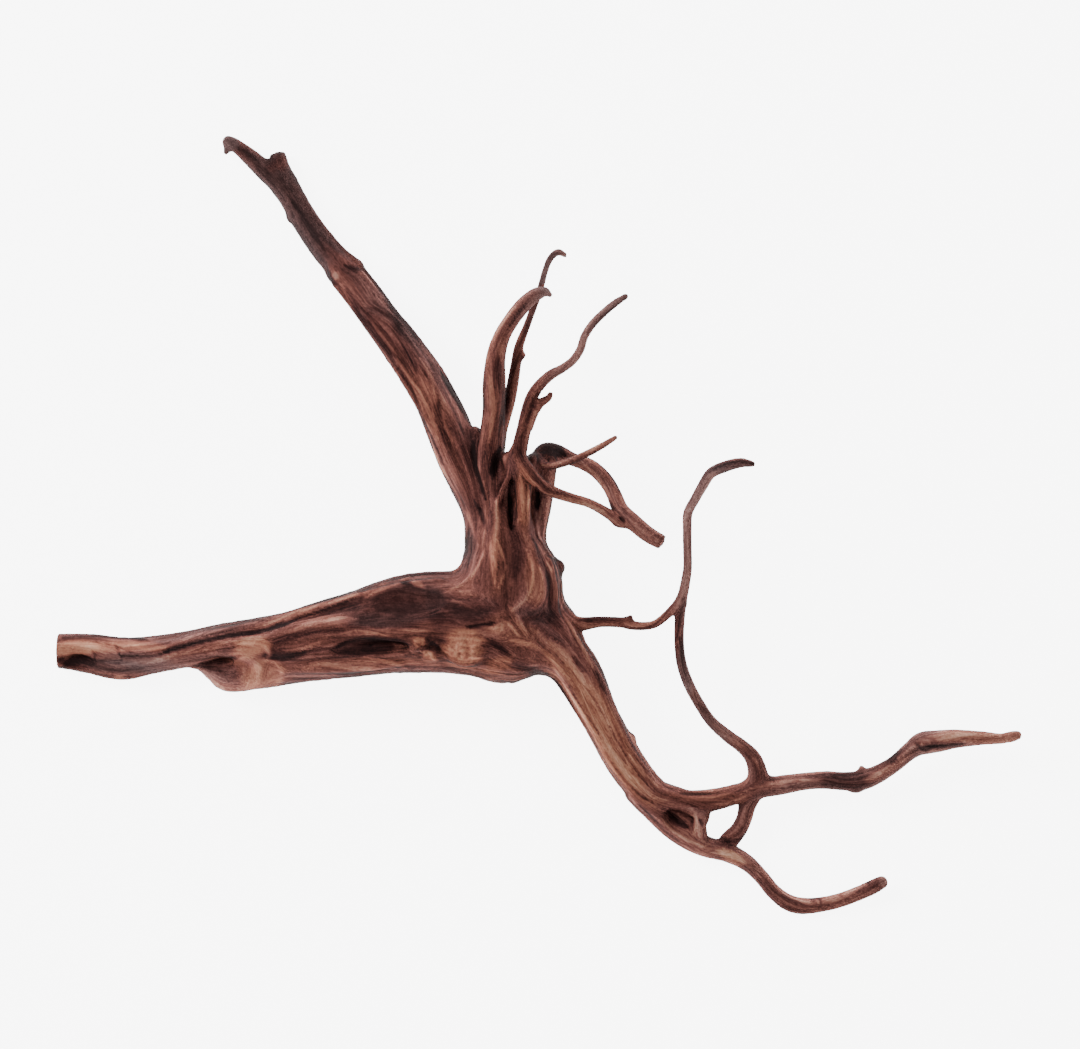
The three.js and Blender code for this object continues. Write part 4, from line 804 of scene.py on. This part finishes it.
def soft_min(a, b, k):
    """The smaller of two distances, rounded off where they cross."""
    h = np.clip(0.5 + 0.5 * (b - a) / k, 0, 1)
    return b + (a - b) * h - k * h * (1 - h)


def grow(field, limb, blend):
    """Joins a limb to the wood in the volume."""
    reach = limb["half"].max() * (1 + FLUTE_DEPTH) + BAND
    window = grid_window(limb["centre"].min(0) - reach, limb["centre"].max(0) + reach)
    own = np.full([w.stop - w.start for w in window], BAND, np.float32)
    for first, last, low, high in stretches(limb):
        inner = grid_window(low, high)
        places = window_places(inner)
        distance, _ = limb_distance(limb, places.reshape(-1, 3), first, last)
        local = tuple(slice(a.start - b.start, a.stop - b.start) for a, b in zip(inner, window))
        own[local] = np.minimum(own[local], distance.reshape(places.shape[:3]))
    field[window] = soft_min(own, field[window], blend)


def ball_distance(places, x, y, z, rx, ry, rz, turn=0):
    """Distance to a rounded lump, less than 0 inside it."""
    offset = places - np.array([x, y, z])
    c, s = math.cos(math.radians(turn)), math.sin(math.radians(turn))
    local = np.stack([
        c * offset[..., 0] + s * offset[..., 1],
        -s * offset[..., 0] + c * offset[..., 1],
        offset[..., 2],
    ], -1)
    share = np.linalg.norm(local / np.array([rx, ry, rz]), axis=-1)
    return np.linalg.norm(local, axis=-1) * (1 - 1 / np.maximum(share, LEAST_SHARE))


def ball_window(ball):
    reach = max(ball[3:6]) + BAND
    centre = np.array(ball[:3])
    return grid_window(centre - reach, centre + reach)


def top_of(field, x, y):
    """How high the wood's upper side is over x, y, by the volume."""
    i, j = (np.array([x, y]) - GRID_LOW[:2]) / VOXEL
    column = field[int(round(i)), int(round(j))]
    inside = np.nonzero(column < 0)[0]
    k = inside[-1]
    share = column[k] / (column[k] - column[k + 1])
    return GRID_LOW[2] + VOXEL * (k + share)


def grow_wood():
    """The whole root as a volume of signed distances, and the list of its limbs."""
    field = np.full(GRID_SHAPE, BAND, np.float32)
    limbs = {
        name: make_limb(points, ends, LIMB_PHASE * i)
        for i, (name, (*ends, points)) in enumerate(LIMBS.items())
    }
    for name in RIB_HOSTS:
        grow(field, limbs[name], BLEND.get(name, TWIG_BLEND))
    ribs = {}
    for i, (name, points) in enumerate(RIBS.items()):
        laid = [
            (x, y, top_of(field, x, y) + proud - RIB_DEPTH * half, half, RIB_DEPTH * half)
            for x, y, half, proud in points
        ]
        ribs[name] = make_limb(laid, ("round", "round"), RIB_PHASE * i)
    for name, limb in limbs.items():
        if name not in RIB_HOSTS:
            grow(field, limb, BLEND.get(name, TWIG_BLEND))
    for rib in ribs.values():
        grow(field, rib, RIB_BLEND)
    for knot in KNOTS:
        window = ball_window(knot)
        distance = ball_distance(window_places(window), *knot)
        field[window] = soft_min(distance, field[window], KNOT_BLEND)
    for hollow in HOLLOWS:
        window = ball_window(hollow)
        distance = ball_distance(window_places(window), *hollow)
        field[window] = -soft_min(distance, -field[window], HOLLOW_BLEND)
    heights = GRID_LOW[2] + VOXEL * np.arange(GRID_SHAPE[2])
    lengths = GRID_LOW[0] + VOXEL * np.arange(GRID_SHAPE[0])
    np.maximum(field, -heights[None, None, :], out=field)
    np.maximum(field, (SAWN_END_X - lengths)[:, None, None], out=field)
    return field, {**limbs, **ribs}


def skin(field):
    """The wood's surface: places in millimetres, and faces of four corners."""
    grid = openvdb.FloatGrid(background=BAND)
    grid.copyFromArray(field)
    points, quads = grid.convertToQuads(isovalue=0.0)
    places = points.astype(float) * VOXEL + GRID_LOW
    quads = quads.astype(int)
    a, b, c = (places[quads[:, n]] for n in range(3))
    if (np.cross(b, c) * a).sum() < 0:
        quads = quads[:, ::-1]
    return places, quads


def neighbours_of(quads, count):
    """Every ordered pair of places that share a side of a face."""
    sides = np.vstack([quads[:, [n, (n + 1) % 4]] for n in range(4)])
    sides = np.vstack([sides, sides[:, ::-1]])
    keys = np.unique(sides[:, 0] * count + sides[:, 1])
    return keys // count, keys % count


def spread(values, pairs):
    """The mean of each place's neighbours."""
    at, other = pairs
    count = len(values)
    shares = np.bincount(at, minlength=count)
    flat = values.reshape(count, -1)
    sums = [np.bincount(at, flat[other, n], count) for n in range(flat.shape[1])]
    return (np.stack(sums, 1) / shares[:, None]).reshape(values.shape)


def trilinear(volume, at):
    """The volume's value between its cells."""
    base = np.clip(np.floor(at).astype(int), 0, np.array(volume.shape) - 2)
    share = np.clip(at - base, 0, 1)
    total = np.zeros(len(at))
    for i in (0, 1):
        for j in (0, 1):
            for k in (0, 1):
                corner = volume[base[:, 0] + i, base[:, 1] + j, base[:, 2] + k]
                weight = (
                    (share[:, 0] if i else 1 - share[:, 0])
                    * (share[:, 1] if j else 1 - share[:, 1])
                    * (share[:, 2] if k else 1 - share[:, 2])
                )
                total += weight * corner
    return total


def depth_at(field, places):
    return trilinear(field, (places - GRID_LOW) / VOXEL)


def outward(field, places):
    """The way out of the wood at each place."""
    slope = []
    for axis in range(3):
        nudge = np.zeros(3)
        nudge[axis] = SLOPE_REACH
        slope.append(depth_at(field, places + nudge) - depth_at(field, places - nudge))
    return unit(np.stack(slope, 1))


def relax(field, places, pairs, rounds):
    """Evens the faces out along the surface."""
    for _ in range(rounds):
        normal = outward(field, places)
        move = spread(places, pairs) - places
        places = places + RELAX_SHARE * (move - normal * (move * normal).sum(1)[:, None])
        back = np.clip(depth_at(field, places), -RELAX_PULL, RELAX_PULL)
        places = places - normal * back[:, None]
    return places


def normals_of(places, quads):
    a, b, c, d = (places[quads[:, n]] for n in range(4))
    face = np.cross(c - a, d - b)
    total = np.zeros_like(places)
    for axis in range(3):
        weights = np.repeat(face[:, axis], 4)
        total[:, axis] = np.bincount(quads.ravel(), weights, len(places))
    return unit(total)


def photo_spots(places):
    """The photograph's pixel in front of each place."""
    nearer = CAMERA_DISTANCE / (CAMERA_DISTANCE + MIDDLE_HEIGHT - places[:, 2])
    return np.stack([
        PHOTO_CENTRE[0] + places[:, 0] * nearer / MM_PER_PIXEL,
        PHOTO_CENTRE[1] - places[:, 1] * nearer / MM_PER_PIXEL,
    ], 1)


def seen_from_above(places, normals, spots):
    """1 on the wood that the photograph shows, falling to 0 on what lies behind."""
    cells = (spots / TOP_CELL).astype(int)
    tops = np.full(TOP_CELLS, -BAND)
    np.maximum.at(tops, (cells[:, 0], cells[:, 1]), places[:, 2])
    behind = tops[cells[:, 0], cells[:, 1]] - places[:, 2]
    in_front = np.clip((HIDDEN_DEPTH - behind) / SEEN_FADE, 0, 1)
    return in_front * np.clip(SIDE_SEEN + TOP_SEEN * normals[:, 2], 0, 1)


def stroke_share(spots, points, half):
    """How strongly a stroke marks each spot, tapering to its ends, and its direction there."""
    points = np.asarray(points, float)
    line, slopes, along = spline(np.pad(points, ((0, 0), (0, 1))), STROKE_STEP)
    low, high = line[:, :2].min(0) - half, line[:, :2].max(0) + half
    inside = np.nonzero(((spots > low) & (spots < high)).all(1))[0]
    gaps = np.linalg.norm(spots[inside][:, None] - line[None, :, :2], axis=2)
    near = gaps.argmin(1)
    reach = along[-1]
    thinning = min(STROKE_TAPER[0] * reach, STROKE_TAPER[1])
    taper = np.clip(np.minimum(along, reach - along) / thinning + 0.25, 0, 1)
    share = np.clip(1 - (gaps.min(1) / (half * taper[near])) ** 2, 0, 1) ** 1.5
    return inside, share, slopes[near, :2]


def grain_of(places, normals, limbs, pairs, spots, seen):
    """The direction that the wood's fibres run in, and how thick the wood is there."""
    tensor = np.zeros((len(places), 3, 3))
    nearest = np.full(len(places), np.inf)
    thickness = np.full(len(places), 1.0)
    for limb in limbs.values():
        own = np.full(len(places), np.inf)
        station = np.zeros(len(places), int)
        for first, last, low, high in stretches(limb):
            inside = np.nonzero(((places > low) & (places < high)).all(1))[0]
            if len(inside):
                distance, near = limb_distance(limb, places[inside], first, last)
                better = distance < own[inside]
                own[inside[better]] = distance[better]
                station[inside[better]] = near[better]
        hit = np.nonzero(np.isfinite(own))[0]
        weight = np.exp(-np.maximum(own[hit], 0) / GRAIN_REACH)
        way = limb["forward"][station[hit]]
        tensor[hit] += weight[:, None, None] * way[:, :, None] * way[:, None, :]
        closer = hit[own[hit] < nearest[hit]]
        nearest[closer] = own[closer]
        thickness[closer] = limb["half"][station[closer]].min(1)
    for *_, half, points in STROKES:
        inside, share, slopes = stroke_share(spots, points, STROKE_GRAIN[0] * half)
        way = unit(np.stack([slopes[:, 0], -slopes[:, 1], 0 * share], 1))
        weight = STROKE_GRAIN[1] * share * seen[inside]
        tensor[inside] += weight[:, None, None] * way[:, :, None] * way[:, None, :]
    flat = np.eye(3) - normals[:, :, None] * normals[:, None, :]
    for _ in range(GRAIN_ROUNDS):
        tensor = 0.5 * tensor + 0.5 * spread(tensor, pairs)
        tensor = flat @ tensor @ flat
    return np.linalg.eigh(tensor)[1][:, :, 2], thickness


class Noise:
    """Smooth seeded noise through the whole volume."""

    def __init__(self, seed, size):
        shape = np.ceil((GRID_HIGH - GRID_LOW) / size).astype(int) + 2
        self.size = size
        self.lattice = np.random.default_rng(seed).standard_normal(shape).astype(np.float32)

    def at(self, places):
        return trilinear(self.lattice, (places - GRID_LOW) / self.size)


def cells_of(places):
    """The volume's cell that each place lies in."""
    cells = np.floor((places - GRID_LOW) / VOXEL).astype(int)
    return tuple(np.clip(cells, 0, np.array(GRID_SHAPE) - 1).T)


def mixed_noise(places, *rows):
    """The sum of several noises at the places: each row is a seed, a size and a share."""
    return sum(share * Noise(seed, size).at(places) for seed, size, share in rows)


def nearest_places(places):
    """A volume that gives the number of a place close to any point near the surface."""
    numbers = np.full(GRID_SHAPE, -1, np.int32)
    numbers[cells_of(places)] = np.arange(len(places))
    for _ in range(2):
        for axis in range(3):
            for turn in (1, -1):
                moved = np.roll(numbers, turn, axis)
                numbers = np.where(numbers < 0, moved, numbers)
    return numbers


def comb(places, normals, grain, noises, steps, step):
    """Noise drawn out along the grain: for each noise, its mean over a run of fibre."""
    numbers = nearest_places(places)
    totals = [noise.at(places) for noise in noises]
    for sign in (1, -1):
        at = places
        way = sign * grain
        near = np.arange(len(places))
        for n in range(1, max(steps) + 1):
            at = at + step * way
            found = numbers[cells_of(at)]
            near = np.where(found < 0, near, found)
            normal = normals[near]
            at = at - normal * ((at - places[near]) * normal).sum(1)[:, None]
            turn = grain[near]
            way = turn * np.where((turn * way).sum(1) < 0, -1, 1)[:, None]
            for k, noise in enumerate(noises):
                if n <= steps[k]:
                    totals[k] += math.cos(0.5 * math.pi * n / (steps[k] + 1)) * noise.at(at)
    return [(total - total.mean()) / total.std() for total in totals]


def smooth_step(low, high, value):
    t = np.clip((value - low) / (high - low), 0, 1)
    return t * t * (3 - 2 * t)


def patch_share(spots, x, y, rx, ry, turn=0, fray=0):
    """1 inside a patch of the photograph and 0 outside, with a soft edge."""
    c, s = math.cos(math.radians(turn)), math.sin(math.radians(turn))
    dx, dy = (spots - (x, y)).T
    away = np.hypot((c * dx - s * dy) / rx, (s * dx + c * dy) / ry)
    return 1 - smooth_step(*PATCH_EDGES, away + fray)


def recess_shade_of(field, places, normals):
    """How closely other wood stands in front of each place, from 0 to 1, which sets how much painted
    shade it gets in hollows, creases and forks.
    """
    recess_shade = np.zeros(len(places))
    for reach in RECESS_SHADE_REACHES:
        recess_shade += (1 - depth_at(field, places + normals * reach) / reach) / len(RECESS_SHADE_REACHES)
    return np.clip(recess_shade, 0, 1)


def calm_of(spots, seen, medium):
    """How smooth the bark is at each place, from 0 to 1."""
    calm = np.zeros(len(spots))
    for x, y, rx, ry, turn, strength in CALM:
        share = patch_share(spots, x, y, rx, ry, turn, PATCH_FRAY * medium)
        calm = np.maximum(calm, strength * share * seen)
    return calm


def crumbly_of(spots, seen):
    """How crumbly the wood is at each place, from 0 to 1."""
    crumbly = np.zeros(len(spots))
    for x, y, rx, ry in CRUMBS:
        crumbly = np.maximum(crumbly, patch_share(spots, x, y, rx, ry) * seen)
    return crumbly


def plain_bark(places, fibres, recess_shade, calm, crumbly):
    """The tone, warmth and lift of the bark before the photograph's own marks, with painted shade where
    other wood stands close in front.
    """
    coarse, medium, fine = fibres
    blotch = mixed_noise(places, *BLOTCHES)
    mix = FILM_MIX[1] * medium + FILM_MIX[0] * coarse + FILM_MIX[2] * blotch
    film = smooth_step(*FILM_EDGES, mix)
    film += calm * (0.5 - film + CALM_BLOTCH * blotch)
    # painted shade darkens the tone in hollows, creases and forks
    tone = BARE_TONE + FILM_TONE * film + RECESS_SHADE_TONE * recess_shade
    tone += FIBRE_TONE * (1 - calm) * (medium + fine)
    tone += calm * mixed_noise(places, CALM_NOISE)
    warmth = BARE_WARMTH + FILM_WARMTH * film + COARSE_WARMTH * coarse
    lift = FIBRE_LIFT[0] * film + FIBRE_LIFT[1] * medium + FIBRE_LIFT[2] * fine
    lift += crumbly * mixed_noise(places, *CRUMB_NOISES) + mixed_noise(places, SKIN_NOISE)
    return tone, warmth, lift


def add_marks(tone, warmth, lift, spots, seen, medium, fine):
    """Adds the patches and strokes of the photograph to the tone, the warmth and the lift."""
    for x, y, rx, ry, turn, tint, warm in PATCHES:
        share = patch_share(spots, x, y, rx, ry, turn, PATCH_FRAY * medium) * seen
        tone += tint * share
        warmth += warm * share
    for tint, rise, half, points in STROKES:
        inside, share, _ = stroke_share(spots, points, half + STROKE_BLUR)
        broken = np.clip(STROKE_MEAN + STROKE_BREAKS * fine[inside], *STROKE_LIMITS)
        share = share * seen[inside] * broken
        tone[inside] += (tint if tint < 0 else PALE_SHARE * tint) * share
        warmth[inside] += tint * share
        lift[inside] += rise * share


def add_rings(tone, warmth, places, normals, fine):
    """Draws growth rings on the sawn end, and tells which places lie on it."""
    sawn = np.clip(1 - (places[:, 0] - SAWN_END_X) / SAWN_DEPTH, 0, 1) * (normals[:, 0] < -0.5)
    heart_y, heart_z = SAWN_HEART
    away = np.hypot(places[:, 1] - heart_y, RING_SQUEEZE * (places[:, 2] - heart_z))
    rings = RING_TONE * np.sin(RING_RATE * away + RING_WAVER * fine)
    tone += sawn * (SAWN_TONE + rings - tone)
    warmth += SAWN_WARMTH * sawn
    return sawn > 0


def work_surface(field, limbs):
    """The finished wood: places, faces, and each place's tone, warmth and fibre values."""
    places, quads = skin(field)
    pairs = neighbours_of(quads, len(places))
    places = relax(field, places, pairs, RELAX_ROUNDS)
    normals = normals_of(places, quads)
    spots = photo_spots(places)
    seen = seen_from_above(places, normals, spots)
    grain, thickness = grain_of(places, normals, limbs, pairs, spots, seen)
    noises = [Noise(seed, size) for seed, size in NOISES]
    fibres = comb(places, normals, grain, noises, FIBRE_STEPS, FIBRE_STEP)
    _, medium, fine = fibres

    calm = calm_of(spots, seen, medium)
    crumbly = crumbly_of(spots, seen)
    # painted shade in hollows, creases and forks, by how close other wood stands in front
    recess_shade = recess_shade_of(field, places, normals)
    tone, warmth, lift = plain_bark(places, fibres, recess_shade, calm, crumbly)
    add_marks(tone, warmth, lift, spots, seen, medium, fine)
    side_shade = smooth_step(*SIDE_SHADE_EDGES, normals[:, 2])  # painted shade: sides and underside darker, more where they face right, away from the key light
    tone += side_shade * (SIDE_SHADE_TONE[0] + SIDE_SHADE_TONE[1] * np.clip(normals[:, 0], 0, 1))
    sawn = add_rings(tone, warmth, places, normals, fine)

    held = (places[:, 2] < HELD_HEIGHT) | sawn
    scale = np.clip(thickness / FULL_RELIEF, LEAST_RELIEF, 1) * ~held
    places = places + normals * (lift * scale)[:, None]
    places[:, 2] = np.maximum(places[:, 2], 0)
    marks = {
        "tone": np.clip(tone, 0, 1),
        "warmth": np.clip(warmth, -1, 1),
        "crumbly": crumbly,
        "fibrous": (1 - (1 - CRUMB_FIBRE) * crumbly) * (1 - (1 - CALM_FIBRE) * calm),
    }
    return places, quads, marks, np.stack(fibres, 1)


def linear(red, green, blue):
    """A colour as it is seen on a screen, in the shader's own scale."""
    shares = [value / 255 for value in (red, green, blue)]
    return tuple(s / 12.92 if s <= 0.04045 else ((s + 0.055) / 1.055) ** 2.4 for s in shares) + (1.0,)


class Nodes:
    """A material's nodes, added and joined one at a time."""

    def __init__(self, name):
        self.material = bpy.data.materials.new(name)
        self.material.use_nodes = True
        self.tree = self.material.node_tree
        self.shader = self.tree.nodes["Principled BSDF"]

    def add(self, kind, **settings):
        node = self.tree.nodes.new(kind)
        for key, value in settings.items():
            setattr(node, key, value)
        return node

    def join(self, out, into):
        self.tree.links.new(out, into)

    def attribute(self, name, output="Fac"):
        return self.add("ShaderNodeAttribute", attribute_name=name).outputs[output]

    def math(self, operation, a, b):
        node = self.add("ShaderNodeMath", operation=operation)
        for socket, value in zip(node.inputs, (a, b)):
            if isinstance(value, (int, float)):
                socket.default_value = value
            else:
                self.join(value, socket)
        return node.outputs[0]

    def swing(self, base, noise, strength):
        """The base moved up and down by a noise that is a half on average."""
        centred = self.math("SUBTRACT", noise, 0.5)
        return self.math("ADD", base, self.math("MULTIPLY", centred, strength))

    def ramp(self, share, colours):
        """The colour at a share of the way through the colours."""
        node = self.add("ShaderNodeValToRGB")
        elements = node.color_ramp.elements
        while len(elements) < len(TONE_STOPS):
            elements.new(0.5)
        for element, position, colour in zip(elements, TONE_STOPS, colours):
            element.position = position
            element.color = linear(*colour)
        self.join(share, node.inputs[0])
        return node.outputs[0]

    def mix(self, share, a, b):
        node = self.add("ShaderNodeMix", data_type="RGBA")
        for socket, value in zip((node.inputs[0], node.inputs[6], node.inputs[7]), (share, a, b)):
            self.join(value, socket)
        return node.outputs[2]

    def noise(self, vector, scale, detail):
        node = self.add("ShaderNodeTexNoise")
        node.inputs["Scale"].default_value = scale
        node.inputs["Detail"].default_value = detail
        self.join(vector, node.inputs["Vector"])
        return node.outputs["Fac"]


def wood_material():
    """Wood shaded by its tone, coloured by its warmth and drawn along its fibres."""
    nodes = Nodes("snake_wood_bark")
    warmth = nodes.attribute("warmth")
    fibrous = nodes.attribute("fibrous")
    fibre = nodes.attribute("fibre", "Vector")
    place = nodes.add("ShaderNodeTexCoord").outputs["Object"]
    band = nodes.noise(fibre, *BAND_NOISE)
    hair = nodes.noise(fibre, *HAIR_NOISE)
    grit = nodes.noise(place, *GRIT_NOISE)
    lumps = nodes.noise(place, *LUMP_NOISE)
    shade = nodes.swing(nodes.attribute("tone"), band, nodes.math("MULTIPLY", fibrous, BAND_SHADE))
    shade = nodes.swing(shade, hair, nodes.math("MULTIPLY", fibrous, HAIR_SHADE))
    shade = nodes.swing(shade, grit, GRIT_SHADE)
    crumbly = nodes.attribute("crumbly")
    shade = nodes.swing(shade, lumps, nodes.math("MULTIPLY", crumbly, LUMP_SHADE))
    plum, tan, dusk = (nodes.ramp(shade, colours) for colours in (PLUM_WOOD, TAN_WOOD, DUSK_WOOD))
    dull = nodes.math("MULTIPLY", warmth, -1.0)
    colour = nodes.mix(dull, nodes.mix(warmth, plum, tan), dusk)
    nodes.join(colour, nodes.shader.inputs["Base Color"])
    nodes.shader.inputs["Roughness"].default_value = WOOD_ROUGHNESS
    nodes.shader.inputs["Specular IOR Level"].default_value = WOOD_SHEEN
    bump = nodes.add("ShaderNodeBump")
    bump.inputs["Strength"].default_value = BUMP_STRENGTH
    bump.inputs["Distance"].default_value = BUMP_DEPTH
    height = nodes.swing(band, hair, HAIR_HEIGHT)
    height = nodes.swing(height, grit, GRIT_HEIGHT)
    nodes.join(height, bump.inputs["Height"])
    nodes.join(bump.outputs[0], nodes.shader.inputs["Normal"])
    return nodes.material


def make_wood():
    field, limbs = grow_wood()
    places, quads, marks, fibre = work_surface(field, limbs)
    mesh = bpy.data.meshes.new("snake_wood_bark")
    mesh.from_pydata((places + CENTRING) / 1000, [], quads.tolist())
    for name, values in marks.items():
        layer = mesh.attributes.new(name, "FLOAT", "POINT")
        layer.data.foreach_set("value", values.astype(np.float32))
    layer = mesh.attributes.new("fibre", "FLOAT_VECTOR", "POINT")
    layer.data.foreach_set("vector", fibre.astype(np.float32).ravel())
    mesh.shade_smooth()
    mesh.materials.append(wood_material())
    piece = bpy.data.objects.new("snake_wood_bark", mesh)
    bpy.context.scene.collection.objects.link(piece)
    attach(piece, "root")
    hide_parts("snake_wood")


def make_floor():
    mesh = bpy.data.meshes.new("floor")
    sides = ((-1, -1), (1, -1), (1, 1), (-1, 1))
    mesh.from_pydata([(x * FLOOR_REACH, y * FLOOR_REACH, 0) for x, y in sides], [], [(0, 1, 2, 3)])
    nodes = Nodes("floor")
    nodes.shader.inputs["Base Color"].default_value = linear(*FLOOR_COLOUR)
    nodes.shader.inputs["Roughness"].default_value = FLOOR_ROUGHNESS
    nodes.shader.inputs["Emission Color"].default_value = (1, 1, 1, 1)
    nodes.shader.inputs["Emission Strength"].default_value = FLOOR_GLOW
    mesh.materials.append(nodes.material)
    floor = bpy.data.objects.new("floor", mesh)
    bpy.context.scene.collection.objects.link(floor)


def make_light(name, place, size, power):
    data = bpy.data.lights.new(name, "AREA")
    data.shape = "DISK"
    data.size = size
    data.energy = power
    light = bpy.data.objects.new(name, data)
    light.location = place
    light.rotation_euler = (-Vector(place)).to_track_quat("-Z", "Y").to_euler()
    bpy.context.scene.collection.objects.link(light)


def make_camera():
    data = bpy.data.cameras.new("camera")
    data.lens = LENS
    data.sensor_width = SENSOR
    camera = bpy.data.objects.new("camera", data)
    camera.location = (CENTRING + (0, 0, MIDDLE_HEIGHT + CAMERA_DISTANCE)) / 1000
    bpy.context.scene.collection.objects.link(camera)
    bpy.context.scene.camera = camera


def make_world():
    world = bpy.data.worlds.new("world")
    world.use_nodes = True
    sky = world.node_tree.nodes["Background"]
    sky.inputs["Color"].default_value = (1, 1, 1, 1)
    sky.inputs["Strength"].default_value = SKY_STRENGTH
    bpy.context.scene.world = world


make_camera()
make_world()
for name, place, size, power in LIGHTS:
    make_light(name, place, size, power)
make_floor()
make_wood()
